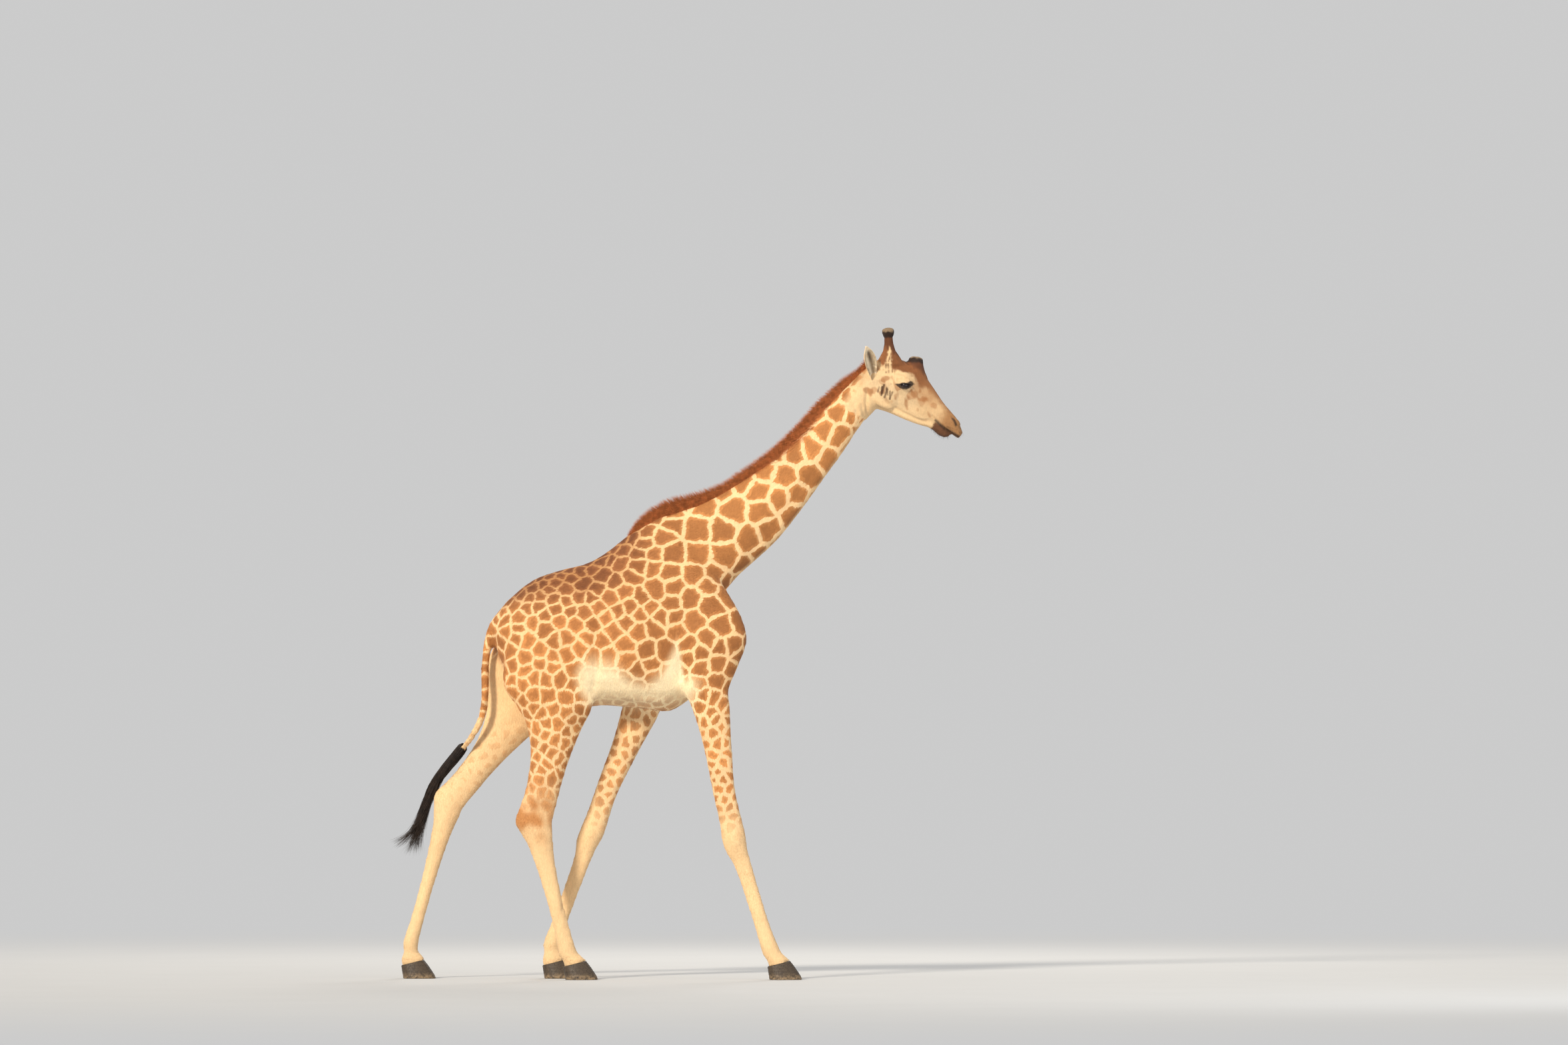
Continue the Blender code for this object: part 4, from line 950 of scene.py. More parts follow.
@dataclass
class Markings:
    """The patches, the ground between them, and the way the hair lies, as attributes of the skin."""

    plan: BodyPlan
    skin: Object
    rng: np.random.Generator = field(default_factory=lambda: np.random.default_rng(7))

    def painted(self) -> None:
        """Stores every attribute that the hide's finish and the coat read."""
        mesh = self.skin.data
        self.points, self.normals = vertices_of(mesh), normals_of(mesh)
        self.at = self.plan.to_head(self.points)
        self.on_head = Skin.head_share(self.at)
        self.drawn = self.points[:, [0, 2]] - self.plan.shift[[0, 2]]
        self._zones()
        seeds, reach = self._seeds()
        self._store_seeds(mesh, seeds, reach)
        keep_attribute(mesh, "root_at", self.points)
        x, z = self.drawn.T
        limb = ramp(z, 1.75, 1.50) * ((x > -0.15) | (self.points[:, 1] > 0))
        wider = limb * (0.0045 + 0.006 * (x < -0.9))
        keep_attribute(mesh, "half_gap", self._style("half_gap") + wider)
        keep_attribute(mesh, "patch_amount", self._amount())
        ground, patch = self._tints()
        keep_attribute(mesh, "ground", evened(mesh, ground, (0.5,)))
        keep_attribute(mesh, "patch", patch)
        keep_attribute(mesh, "lie", self._lie(mesh))
        LOG.info("markings: %d patches", len(seeds))

    def _zones(self) -> None:
        """How strongly each zone holds at each point."""
        weights = []
        for style in ZONE_STYLES.values():
            gap = np.linalg.norm(self.drawn - np.array(style.middle), axis=1)
            weights.append(np.exp(-((gap / style.reach) ** 2)) + 1e-6)
        stack = np.array(weights)
        self.weights = stack / stack.sum(0)

    def _style(self, name: str) -> Array:
        """A zone measure blended over the whole skin."""
        return np.array([getattr(style, name) for style in ZONE_STYLES.values()]) @ self.weights

    def _seeds(self) -> tuple[Array, Array]:
        """The middles of all patches and how far each reaches, kept apart by the zones' spacing."""
        seeds, reach = [], []
        spacing = np.where(self.on_head > 0.5, 0.034, self._style("spacing"))
        free = np.ones(len(self.points), bool)
        for i in self.rng.permutation(len(self.points)):
            if free[i]:
                width = spacing[i] * self.rng.uniform(0.8, 1.15)
                seeds.append(self.points[i])
                reach.append(0.36 * width)
                free &= np.linalg.norm(self.points - seeds[-1], axis=1) > 0.86 * width
        return np.array(seeds), np.array(reach)

    @staticmethod
    def _store_seeds(mesh: Mesh, seeds: Array, reach: Array) -> None:
        """Gives each face the middles and reaches of the four patches nearest to it."""
        count = len(mesh.polygons)
        centres = rows_of(mesh.polygons, "center", 3)
        weight = 0.5 * reach
        nearest = np.empty((count, 4), int)
        for start in range(0, count, 8000):
            block = centres[start : start + 8000]
            square = (block**2).sum(1)[:, None] + (seeds**2).sum(1)[None] - 2 * block @ seeds.T
            gap = np.sqrt(np.maximum(square, 0)) - weight[None]
            some = np.argpartition(gap, 4, axis=1)[:, :4]
            order = np.argsort(np.take_along_axis(gap, some, 1), axis=1)
            nearest[start : start + 8000] = np.take_along_axis(some, order, 1)
        for k in range(4):
            keep_attribute(mesh, f"seed_{k + 1}", seeds[nearest[:, k]], "FACE")
        keep_attribute(mesh, "seed_reach", weight[nearest[:, :3]], "FACE")
        keep_attribute(mesh, "seed_reach_4", weight[nearest[:, 3]], "FACE")

    def _outer(self) -> Array:
        """1 on the outer side of trunk and limbs, 0 between them and underneath."""
        side = np.sign(self.points[:, 1])
        return ramp(self.normals[:, 1] * side, -0.35, 0.30)

    def _belly_level(self, x: Array) -> Array:
        """The height under which the belly's patches fade: low at its middle, rising behind the elbow."""
        along = (-0.50, -0.40, -0.28, -0.18, -0.09, -0.02, 0.01, 0.05)
        level = np.interp(x, along, (1.94, 1.92, 1.84, 1.83, 1.92, 2.06, 2.10, 1.86))
        return level + 0.05 * noise_at(self.points, 8.0, 41)

    def _belly_reach(self, x: Array) -> Array:
        """How far a point is ahead of or behind the belly's middle, with a wavy edge."""
        return np.abs(x + 0.20) + 0.06 * noise_at(self.points, 7.0, 42)

    def _amount(self) -> Array:
        """How strongly the patches show: full on the body, fading on belly, inner legs and shins."""
        x, z = self.drawn.T
        low, left, outer = self.points[:, 2], self.points[:, 1] > 0, self._outer()
        fore = (x > -0.1) & (self.points[:, 1] < 0) | left & (x > -0.62) & (z < 1.7)
        fade_end = np.where(left & (x < -1.0), 1.02, np.where(fore, 0.86, 0.98))
        shin = ramp(low, fade_end - 0.05, fade_end + 0.30)
        level, reach = self._belly_level(x), self._belly_reach(x)
        below = np.clip(ramp(low, level - 0.05, level + 0.10) + ramp(reach, 0.30, 0.42), 0, 1)
        leg = ramp(z, 1.80, 1.60)
        thigh = np.maximum(leg, ramp(z, 2.08, 1.92) * (1 - outer))
        leg = np.where(left & (x < -0.85), thigh, leg)
        hind = leg * ramp(x, -0.45, -0.62)
        hind_left = left & (x < -0.9)
        inner = np.where(hind_left, 0.45 * ramp(z, 1.62, 1.48), 0.10) * hind + 0.85 * (1 - hind)
        amount = shin * np.clip(below + leg, 0, 1) * (1 - leg * (1 - outer) * (1 - inner))
        amount = np.where(hind_left & (z < 1.6), amount * 0.75, amount)
        throat = ramp(self.points[:, 1] ** 2, 0.0, 0.0016)
        front = (z > 2.45) & (self.normals[:, 0] > 0.45)
        amount = amount * np.where(front, 0.35 + 0.65 * throat, 1.0)
        return amount * (1 - self.on_head)

    def _tints(self) -> tuple[Array, Array]:
        """The ground colour and the patch colour at each point, with painted shade along the top of the back
        and at the nape, and painted light on the belly.
        """
        c = CoatColours
        x, z = self.drawn.T
        redness = self._style("redness")
        cloud = noise_at(self.points, 6.0, 3)
        patch = mixed(c.patch, c.patch_back, redness * 0.85)
        patch = mixed(patch, c.patch_leg, ramp(z, 1.85, 1.45) * 0.8)
        # darker along the top of the back: partly the back's own darker red-brown, partly painted shade on the
        # faces that look up
        spine = ramp(self.normals[:, 2], 0.30, 0.72) * ramp(z, 2.22, 2.36) * ramp(x, -0.16, -0.28)
        patch = mixed(patch, c.patch_back * 0.8, spine * 0.85) * (1 + 0.06 * cloud)[:, None]
        ground = mixed(c.cream, c.cream_warm, np.clip(redness * 0.55 + 0.10 * cloud, 0, 1))
        ground = mixed(ground, c.patch * 0.75, spine * 0.85)
        ground = mixed(ground, c.cream_low, ramp(z, 1.75, 1.20) * 0.8)
        ground = mixed(ground, c.dusty, ramp(z, 0.45, 0.10) * 0.45)
        level, reach = self._belly_level(x), self._belly_reach(x)
        # painted light: the belly's own pale cream is made brighter still to stand against the shade underneath
        under = ramp(z, level + 0.12, level - 0.04) * ramp(z, 1.55, 1.72) * ramp(reach, 0.44, 0.28)
        ground = mixed(ground, c.belly, np.clip(under, 0, 1))
        hock = bump(np.linalg.norm(self.drawn - (-0.90, 1.02), axis=1), 0.10) * (self.points[:, 1] < 0)
        mottle = ramp(noise_at(self.points, 48.0, 6), -0.35, 0.25)
        ground = mixed(ground, c.patch * 0.9, np.clip(hock * (0.35 + 1.1 * mottle), 0, 0.95))
        # darker at the nape: the mane base's own dark brown, partly painted shadow cast there by the head
        nape = bump(to_path(self.drawn, ((1.00, 3.70), (1.06, 3.70), (1.10, 3.75)))[0], 0.030)
        ground = mixed(ground, c.forehead * 0.55, nape * 0.9)
        streak = bump(to_path(self.drawn, ((1.150, 3.715), (1.140, 3.650)))[0], 0.012)
        ground = mixed(ground, c.forehead, streak * 0.8)
        return self._face(ground), patch

    def _face(self, ground: Array) -> Array:
        """The head's ground colour, laid on from the large fields to the small marks, with painted shade on the
        cheeks, in the nostrils and the mouth's crease, and round the eyes.
        """
        c, at = CoatColours, self.at
        along, out, up = at[:, 0], np.abs(at[:, 1]), at[:, 2]
        flat = np.column_stack([along, up])
        ragged = 0.005 * noise_at(at, 110.0, 11) + 0.003 * noise_at(at, 260.0, 12)
        # painted shade: a greyer band over the cheek below the eye
        shade = bump(to_path(flat, ((0.05, -0.03), (0.20, -0.03), (0.30, 0.0)))[0], 0.05)
        face = mixed(c.face_pale, c.cheek_shade_grey, shade * 0.45)
        blush = ramp(along, 0.26, 0.46) * ramp(up, -0.075, -0.02)
        face = mixed(face, c.muzzle, blush * 0.30)
        spot_edge = 0.024 * noise_at(at, 70.0, 14) + 0.016 * noise_at(at, 150.0, 13)
        before_eye = bump(to_path(flat, ((0.275, 0.085), (0.330, 0.070), (0.400, 0.070)))[0], 0.028)
        face = mixed(face, c.bridge, before_eye * 0.55)
        marks = FaceMarks()
        for ahead, high, reach, strength in marks.cheek_spots():
            gap = np.hypot((along - ahead) * 0.95, (up - high) * 1.1) + spot_edge
            spot = ramp(gap, 1.25 * reach, 0.8 * reach) * strength
            face = mixed(face, c.bridge, spot * (out > 0.02))
        over = up - np.interp(along, *BROWN_EDGE) + ragged
        soft = 0.010 + 0.016 * ramp(along, 0.24, 0.34)
        brown = ramp(over, -soft, soft)
        gap, down = to_path(flat, (marks.wedge_top, (0.059, 0.128), (0.093, 0.066)))
        wedge = ramp(gap + 1.2 * ragged, 0.007 + 0.034 * down, 0.028 * down) * (out > 0.03)
        dots = np.zeros(len(at))
        for path in marks.horn_dashes():
            dots = np.maximum(dots, ramp(to_path(flat, path)[0] + 0.3 * ragged, 0.0048, 0.0018))
        open_wedge = 1 - wedge * (1 - 0.9 * dots)
        dark_brow = mixed(c.forehead, c.bridge, ramp(along, 0.24, 0.40))
        dark_brow *= (1 + 0.14 * noise_at(at, 26.0, 22))[:, None]
        face = mixed(face, dark_brow, brown * open_wedge)
        face = mixed(face, c.forehead * 0.7, dots * 0.85 * (out > 0.03))
        face = mixed(face, c.horn_brown, ramp(up + ragged, 0.165, 0.195) * open_wedge)
        face = mixed(face, c.muzzle, ramp(along + ragged, 0.475, 0.56) * 0.95)
        lip = ramp(up + 0.3 * ragged, -0.024, -0.034) * ramp(along + 0.5 * ragged, 0.498, 0.512)
        face = mixed(face, c.lip, lip)
        jaw = bump(to_path(flat, ((0.20, -0.125), (0.34, -0.100), (0.485, -0.066)))[0], 0.020)
        face = mixed(face, c.face_pale * 1.04, jaw * (along < 0.503))
        # painted shade: near-black in the nostril slits and along the mouth's crease
        for path, width, depth in (
            (NOSTRIL, 0.0055, 0.92),
            (((0.500, -0.020), (0.530, -0.026), (0.580, -0.031), (0.682, -0.026)), 0.0050, 0.90),  # mouth, painted shade along its crease
        ):
            face = mixed(face, c.dark, bump(to_path(flat, path)[0], width) * (out > 0.012) * depth)
        for path, width, depth in marks.cheek_streaks():
            mark = ramp(to_path(flat, path)[0] + 0.06 * spot_edge, 1.8 * width, 0.4 * width) * (out > 0.012)
            face = mixed(face, c.lip * 0.6, mark * depth)
        shape = Skin(self.plan)
        for side in SIDES.values():
            u, v, depth = shape.in_eye(self.points, side).T
            inside = shape.opening(u, v)
            near = (np.abs(depth) < 0.06) & (np.hypot(u, v) < 0.085)
            flat_eye = np.column_stack([u, v])
            lid_line = ((-0.046, 0.022), (-0.010, 0.034), (0.020, 0.030))
            lid = bump(to_path(flat_eye, lid_line)[0], 0.0125) * near
            face = mixed(face, c.face_pale * 0.96, lid * 0.85)
            # painted shade: the dark rim and patch round the eye join the dark lid skin with painted shadow of
            # the lids and lashes
            rim = ramp(inside + 0.2 * ragged, -0.0075, -0.0045) * near
            upper, lower = (np.interp(u, EYE_PATCH[0], row) for row in EYE_PATCH[1:])
            around = ramp(np.minimum(upper - v, v - lower) + 0.35 * ragged, -0.0030, 0.0050) * near
            face = mixed(face, c.dark * 1.3, np.clip(rim + around * 0.93, 0, 0.97))
        return mixed(ground, face, self.on_head)

    def _lie(self, mesh: Mesh) -> Array:
        """The way the hair points: back along the face and body, down the limbs, following the surface."""
        x, z = self.drawn.T
        down, head_turn = np.array((0.0, 0.0, -1.0)), self.plan.turn
        body, thigh = unit(np.array((-0.85, 0, -0.45))), unit(np.array((-0.55, 0, -0.8)))
        flow = mixed(body, thigh, ramp(z, 2.4, 1.9))
        flow = mixed(flow, unit(np.array((-0.68, 0, -0.73))), ramp(x * 0.6 + z, 2.75, 3.05))  # the neck's
        flow = mixed(flow, down, ramp(z, 1.95, 1.60))
        tail = (x < -1.06) & (np.abs(self.points[:, 1]) < 0.16) & (z > 1.35) & (x > -1.40)
        flow = mixed(flow, np.array((-0.1, 0.0, -1.0)), tail.astype(float))
        flow = mixed(flow, head_turn @ unit(np.array((-1.0, 0.0, -0.22))), self.on_head)
        horn = ramp(self.at[:, 2], 0.125, 0.165) * self.on_head
        flow = mixed(flow, head_turn @ unit(np.array((-0.5, 0.1, 0.86))), horn)
        flow = unit(flow) + 0.10 * np.column_stack([noise_at(self.points, 9.0, s) for s in (31, 32, 33)])
        flow -= self.normals * (flow * self.normals).sum(1, keepdims=True)
        flow = evened(mesh, unit(flow), (0.5,) * 4)
        flow -= self.normals * (flow * self.normals).sum(1, keepdims=True)
        return unit(flow)


# ---------------------------------------------------------------- finishes
class Tree:
    """A short way to add nodes to a tree and join them up."""

    def __init__(self, tree: bpy.types.NodeTree) -> None:
        """Works on this node tree."""
        self.tree = tree

    def add(self, kind: str, values: dict | None = None, **settings: object) -> Node:
        """A new node of this kind, with its properties set and its inputs filled."""
        node = self.tree.nodes.new(kind)
        for name, value in settings.items():
            setattr(node, name, value)
        return self.fill(node, values or {})

    def fill(self, node: Node, values: dict) -> Node:
        """Joins or sets a node's inputs, given by name or number, except where the value is None."""
        for name, value in values.items():
            if value is not None:
                self.put(value, node.inputs[name])
        return node

    def put(self, value: object, socket: Socket) -> None:
        """Joins an output to a socket, or sets the socket to a plain value."""
        if isinstance(value, Socket):
            self.tree.links.new(value, socket)
        else:
            socket.default_value = value

    def maths(self, operation: str, first: object, second: object = None, third: object = None,
              clamp: bool = False) -> Socket:
        """A sum on numbers."""
        values = dict(enumerate((first, second, third)))
        return self.add("ShaderNodeMath", values, operation=operation, use_clamp=clamp).outputs[0]

    def vector(self, operation: str, first: object, second: object = None,
               scale: object = None) -> Socket:
        """A sum on vectors. A length or a dot product comes out as a number."""
        node = self.add("ShaderNodeVectorMath", {0: first, 1: second, "Scale": scale}, operation=operation)
        return node.outputs["Value" if operation in ("LENGTH", "DISTANCE", "DOT_PRODUCT") else "Vector"]

    def mix(self, share: object, first: object, second: object, kind: str = "RGBA",
            blend: str = "MIX") -> Socket:
        """Two colours or vectors mixed by a share."""
        start = {"RGBA": 6, "VECTOR": 4}[kind]
        values = {0: share, start: first, start + 1: second}
        node = self.add("ShaderNodeMix", values, data_type=kind, blend_type=blend)
        return node.outputs[{"RGBA": 2, "VECTOR": 1}[kind]]

    def noise(self, at: object, scale: float, detail: float = 3.0, roughness: float = 0.55) -> Socket:
        """Soft noise from 0 to 1."""
        values = {"Vector": at, "Scale": scale, "Detail": detail, "Roughness": roughness}
        return self.add("ShaderNodeTexNoise", values).outputs["Fac"]

    def step(self, value: object, start: float, end: float, low: float = 0.0,
             high: float = 1.0) -> Socket:
        """A smooth step from low at start to high at end."""
        values = dict(enumerate((value, start, end, low, high)))
        return self.add("ShaderNodeMapRange", values, interpolation_type="SMOOTHSTEP").outputs[0]

    def attribute(self, name: str, output: str = "Vector") -> Socket:
        """What the mesh holds under this name."""
        return self.add("ShaderNodeAttribute", attribute_name=name).outputs[output]

    def place(self) -> Socket:
        """The place on the object, in metres."""
        return self.add("ShaderNodeTexCoord").outputs["Object"]

    def xyz(self, vector: object) -> Sequence[Socket]:
        """A vector's three numbers."""
        return self.add("ShaderNodeSeparateXYZ", {0: vector}).outputs

    def shaded(self, colour: object, *light: object) -> Socket:
        """A colour made lighter or darker by one number, or by one for each of red, green and blue."""
        grey = self.add("ShaderNodeCombineColor", dict(enumerate(light * (3 // len(light)))))
        return self.mix(1.0, colour, grey.outputs[0], blend="MULTIPLY")

    def relief(self, shader: Node, height: object, strength: float, depth: float) -> None:
        """Raises the surface that a shader shows by a height."""
        raised = self.add("ShaderNodeBump", {"Strength": strength, "Distance": depth, "Height": height})
        self.put(raised.outputs[0], shader.inputs["Normal"])


def shader_group(name: str, vectors: Sequence[str], numbers: dict[str, float],
                 outputs: Sequence[str]) -> tuple[Tree, Node, Node]:
    """A new shader node group with named sockets.

    Args:
        name: the group's name.
        vectors: the inputs that are vectors.
        numbers: the inputs that are numbers, with their defaults.
        outputs: the outputs, which are all numbers.

    Returns:
        The tree to fill, and its input and output nodes.
    """
    group = bpy.data.node_groups.new(name, "ShaderNodeTree")
    for label in vectors:
        group.interface.new_socket(label, in_out="INPUT", socket_type="NodeSocketVector")
    for label, default in numbers.items():
        socket = group.interface.new_socket(label, in_out="INPUT", socket_type="NodeSocketFloat")
        socket.default_value = default
    for label in outputs:
        group.interface.new_socket(label, in_out="OUTPUT", socket_type="NodeSocketFloat")
    tree = Tree(group)
    return tree, tree.add("NodeGroupInput"), tree.add("NodeGroupOutput")


def patch_group() -> bpy.types.NodeTree:
    """The group that finds a place's patch: how far inside it is, its own tone, and its dark heart."""
    found = bpy.data.node_groups.get("patches")
    if found:
        return found
    vectors = ["At", "Reach", *(f"Seed {k}" for k in range(1, 5))]
    numbers = {"Half Gap": 0.01, "Reach 4": 0.02}
    t, given, out = shader_group("patches", vectors, numbers, ("Patch", "Tone", "Heart"))
    at = given.outputs["At"]
    coarse = t.add("ShaderNodeTexNoise", {"Vector": at, "Scale": 17.0, "Detail": 2.5})
    swirl = t.vector("SCALE", t.vector("SUBTRACT", coarse.outputs["Color"], (0.5, 0.5, 0.5)), scale=0.044)
    moved = t.vector("ADD", at, swirl)
    reaches = [*t.xyz(given.outputs["Reach"]), given.outputs["Reach 4"]]
    seeds = [given.outputs[f"Seed {k}"] for k in range(1, 5)]
    far = [t.vector("DISTANCE", moved, seed) for seed in seeds]
    gaps = [t.maths("SUBTRACT", away, reach) for away, reach in zip(far, reaches, strict=True)]
    low_a, low_b = t.maths("MINIMUM", gaps[0], gaps[1]), t.maths("MINIMUM", gaps[2], gaps[3])
    first = t.maths("MINIMUM", low_a, low_b)
    near_a = t.mix(t.maths("LESS_THAN", gaps[1], gaps[0]), seeds[0], seeds[1], "VECTOR")
    near_b = t.mix(t.maths("LESS_THAN", gaps[3], gaps[2]), seeds[2], seeds[3], "VECTOR")
    nearest = t.mix(t.maths("LESS_THAN", low_b, low_a), near_a, near_b, "VECTOR")
    near_gap = t.vector("DISTANCE", moved, nearest)
    inside = None
    for gap, seed, away in zip(gaps, seeds, far, strict=True):  # how far the border with each neighbour is
        between = t.vector("DISTANCE", seed, nearest)
        both = t.maths("ADD", away, near_gap)
        border = t.maths("DIVIDE", t.maths("MULTIPLY", t.maths("SUBTRACT", gap, first), both),
                         t.maths("MULTIPLY", t.maths("MAXIMUM", between, 0.001), 2.0))
        border = t.maths("ADD", border, t.maths("LESS_THAN", between, 0.002))
        inside = border if inside is None else t.maths("MINIMUM", inside, border)
    fine = t.maths("MULTIPLY", t.maths("SUBTRACT", t.noise(at, 95.0, 3.0), 0.5), 0.0085)
    edge = t.maths("SUBTRACT", t.maths("ADD", inside, fine), given.outputs["Half Gap"])
    apart = t.vector("SCALE", nearest, scale=37.0)
    tone = t.add("ShaderNodeTexWhiteNoise", {"Vector": apart}, noise_dimensions="3D")
    cloud = t.maths("MULTIPLY", t.maths("SUBTRACT", t.noise(at, 42.0, 3.0), 0.5), 0.045)
    t.put(t.step(edge, -0.0014, 0.0022), out.inputs["Patch"])
    t.put(tone.outputs["Value"], out.inputs["Tone"])
    t.put(t.step(t.maths("ADD", edge, cloud), 0.006, 0.024), out.inputs["Heart"])
    return t.tree


def fur_group() -> bpy.types.NodeTree:
    """The group that gives fine hair: a height for bumps and a light and dark streak, drawn out upright."""
    found = bpy.data.node_groups.get("fine hair")
    if found:
        return found
    t, given, out = shader_group("fine hair", ["At"], {"Scale": 1.0}, ("Height", "Streak"))
    at = t.vector("SCALE", given.outputs["At"], scale=given.outputs["Scale"])
    drawn_out = t.vector("MULTIPLY", at, (1.0, 1.0, 0.32))
    hair = t.noise(drawn_out, 520.0, 4.0, 0.65)
    tufts = t.noise(drawn_out, 120.0, 3.0, 0.6)
    for label, fine, coarse in (("Height", 0.6, 0.5), ("Streak", 0.55, 0.45)):
        both = t.maths("ADD", t.maths("MULTIPLY", hair, fine), t.maths("MULTIPLY", tufts, coarse))
        t.put(both, out.inputs[label])
    return t.tree


@dataclass(frozen=True)
class Finish:
    """What every finish shares: its name, roughness, sheen and how strongly its relief shows."""

    name: str
    roughness: float = 0.75
    sheen: float = 0.0
    relief: float = 0.35
    relief_depth: float = 0.0015
    streak: float = 0.25
    coat: float = 0.0
    specular: float = 0.3

    def material(self) -> Material:
        """The material, made once."""
        found = bpy.data.materials.get(self.name)
        if found:
            return found
        made = bpy.data.materials.new(self.name)
        made.use_nodes = True
        t = Tree(made.node_tree)
        shader = made.node_tree.nodes["Principled BSDF"]
        t.fill(shader, {
            "Roughness": self.roughness, "Specular IOR Level": self.specular,
            "Sheen Weight": self.sheen, "Sheen Roughness": 0.45,
            "Coat Weight": self.coat, "Coat Roughness": 0.05,
        })
        self._colour(t, shader)
        return made

    def _colour(self, t: Tree, shader: Node) -> None:
        """Joins the finish's own colour and relief to the shader."""
        raise NotImplementedError

    def _hair(self, t: Tree, shader: Node, colour: Socket) -> None:
        """Puts fine hair over a colour."""
        group = t.add("ShaderNodeGroup", {"At": t.place()}, node_tree=fur_group())
        light = t.step(group.outputs["Streak"], 0.30, 0.72, 1.0 - self.streak, 1.0 + 0.45 * self.streak)
        t.put(t.shaded(colour, light), shader.inputs["Base Color"])
        t.relief(shader, group.outputs["Height"], self.relief, self.relief_depth)


@dataclass(frozen=True)
class HideFinish(Finish):
    """The coat of skin and tufts alike: ground, ragged patches with dark hearts, and fine hair."""

    def _colour(self, t: Tree, shader: Node) -> None:
        """Joins the markings to the shader."""
        values = {
            "At": t.attribute("root_at"), "Half Gap": t.attribute("half_gap", "Fac"),
            "Reach": t.attribute("seed_reach"), "Reach 4": t.attribute("seed_reach_4", "Fac"),
        }
        values |= {f"Seed {k}": t.attribute(f"seed_{k}") for k in range(1, 5)}
        group = t.add("ShaderNodeGroup", node_tree=patch_group())
        t.fill(group, values)
        ground, patch = t.attribute("ground", "Color"), t.attribute("patch", "Color")
        tone = t.step(group.outputs["Tone"], 0.0, 1.0, 0.86, 1.12)
        shade = t.maths("MULTIPLY", tone, t.step(group.outputs["Heart"], 0.0, 1.0, 1.05, 0.80))
        brown = t.shaded(patch, shade, t.maths("POWER", shade, 1.18), t.maths("POWER", shade, 1.36))
        share = t.maths("MULTIPLY", group.outputs["Patch"], t.attribute("patch_amount", "Fac"), clamp=True)
        base = t.mix(share, ground, brown)
        cloud = t.step(t.noise(t.attribute("root_at"), 7.0, 3.0), 0.3, 0.7, 0.95, 1.04)
        self._hair(t, shader, t.shaded(base, cloud))


@dataclass(frozen=True)
class HairFinish(Finish):
    """Hair in one colour that runs from a root tone to a tip tone and differs a little from lock to lock."""

    root: Sequence[float] = (0.1, 0.05, 0.02)
    tip: Sequence[float] = (0.2, 0.1, 0.04)
    patchy: float = 0.35

    def _colour(self, t: Tree, shader: Node) -> None:
        """Joins root and tip tones to the shader."""
        along = t.attribute("hair_along", "Fac")
        lock = t.step(t.noise(t.place(), 38.0, 2.0), 0.3, 0.7, 1.0 - self.patchy, 1.0 + self.patchy)
        self._hair(t, shader, t.shaded(t.mix(along, (*self.root, 1.0), (*self.tip, 1.0)), lock))


@dataclass(frozen=True)
class HoofFinish(Finish):
    """Horn of the hoof: dark rings of growth, paler and dustier towards the ground."""

    def _colour(self, t: Tree, shader: Node) -> None:
        """Joins rings, grain and dust to the shader."""
        place = t.place()
        ring = t.add("ShaderNodeTexWave", wave_type="BANDS", bands_direction="Z")
        t.fill(ring, {"Vector": place, "Scale": 42.0, "Distortion": 2.2, "Detail": 3.0})
        grain = t.noise(t.vector("MULTIPLY", place, (1.0, 1.0, 0.12)), 330.0, 4.0)
        base = t.mix(ring.outputs["Fac"], rgba(66, 56, 47), rgba(92, 78, 62))
        base = t.mix(t.step(grain, 0.35, 0.75), base, rgba(48, 41, 36))
        low = t.step(t.xyz(place)["Z"], 0.045, 0.0)
        dust = t.maths("MULTIPLY", low, t.step(t.noise(place, 60.0), 0.3, 0.7))
        t.put(t.mix(dust, base, rgba(150, 126, 96)), shader.inputs["Base Color"])
        t.put(t.step(grain, 0.2, 0.8, 0.38, 0.62), shader.inputs["Roughness"])
        height = t.maths("ADD", ring.outputs["Fac"], t.maths("MULTIPLY", grain, 0.4))
        t.relief(shader, height, 0.5, 0.0014)


@dataclass(frozen=True)
class EyeFinish(Finish):
    """A wet brown eye: wide dark iris with fine spokes, a lying pupil, and a brown rim to the white."""

    def _colour(self, t: Tree, shader: Node) -> None:
        """Joins iris and pupil to the shader by their place on the eyeball."""
        at = t.attribute("eye_at")
        ring = t.vector("LENGTH", t.vector("MULTIPLY", at, (1.0, 1.12, 0.0)))
        pupil = t.vector("LENGTH", t.vector("MULTIPLY", at, (0.62, 1.35, 0.0)))
        spokes = t.noise(t.vector("MULTIPLY", t.vector("NORMALIZE", at), (1.0, 1.0, 0.1)), 22.0, 4.0)
        iris = t.mix(t.step(spokes, 0.3, 0.7), rgba(40, 23, 14), rgba(74, 44, 25))
        iris = t.mix(t.step(ring, 0.40, 0.72), iris, rgba(30, 19, 13))
        white = t.mix(t.step(t.noise(at, 9.0), 0.3, 0.7), rgba(92, 68, 52), rgba(128, 102, 82))
        colour = t.mix(t.step(ring, 0.80, 0.86), iris, white)
        t.put(t.mix(t.step(pupil, 0.34, 0.30), colour, rgba(9, 9, 12)), shader.inputs["Base Color"])


@dataclass(frozen=True)
class LidFinish(Finish):
    """Bare dark skin: lid edges and the like, slightly wet."""

    def _colour(self, t: Tree, shader: Node) -> None:
        """Joins a mottled near-black to the shader."""
        mottle = t.step(t.noise(t.place(), 380.0, 3.0), 0.3, 0.7)
        t.put(t.mix(mottle, rgba(30, 21, 17), rgba(58, 42, 32)), shader.inputs["Base Color"])
        t.relief(shader, mottle, 0.3, 0.0006)


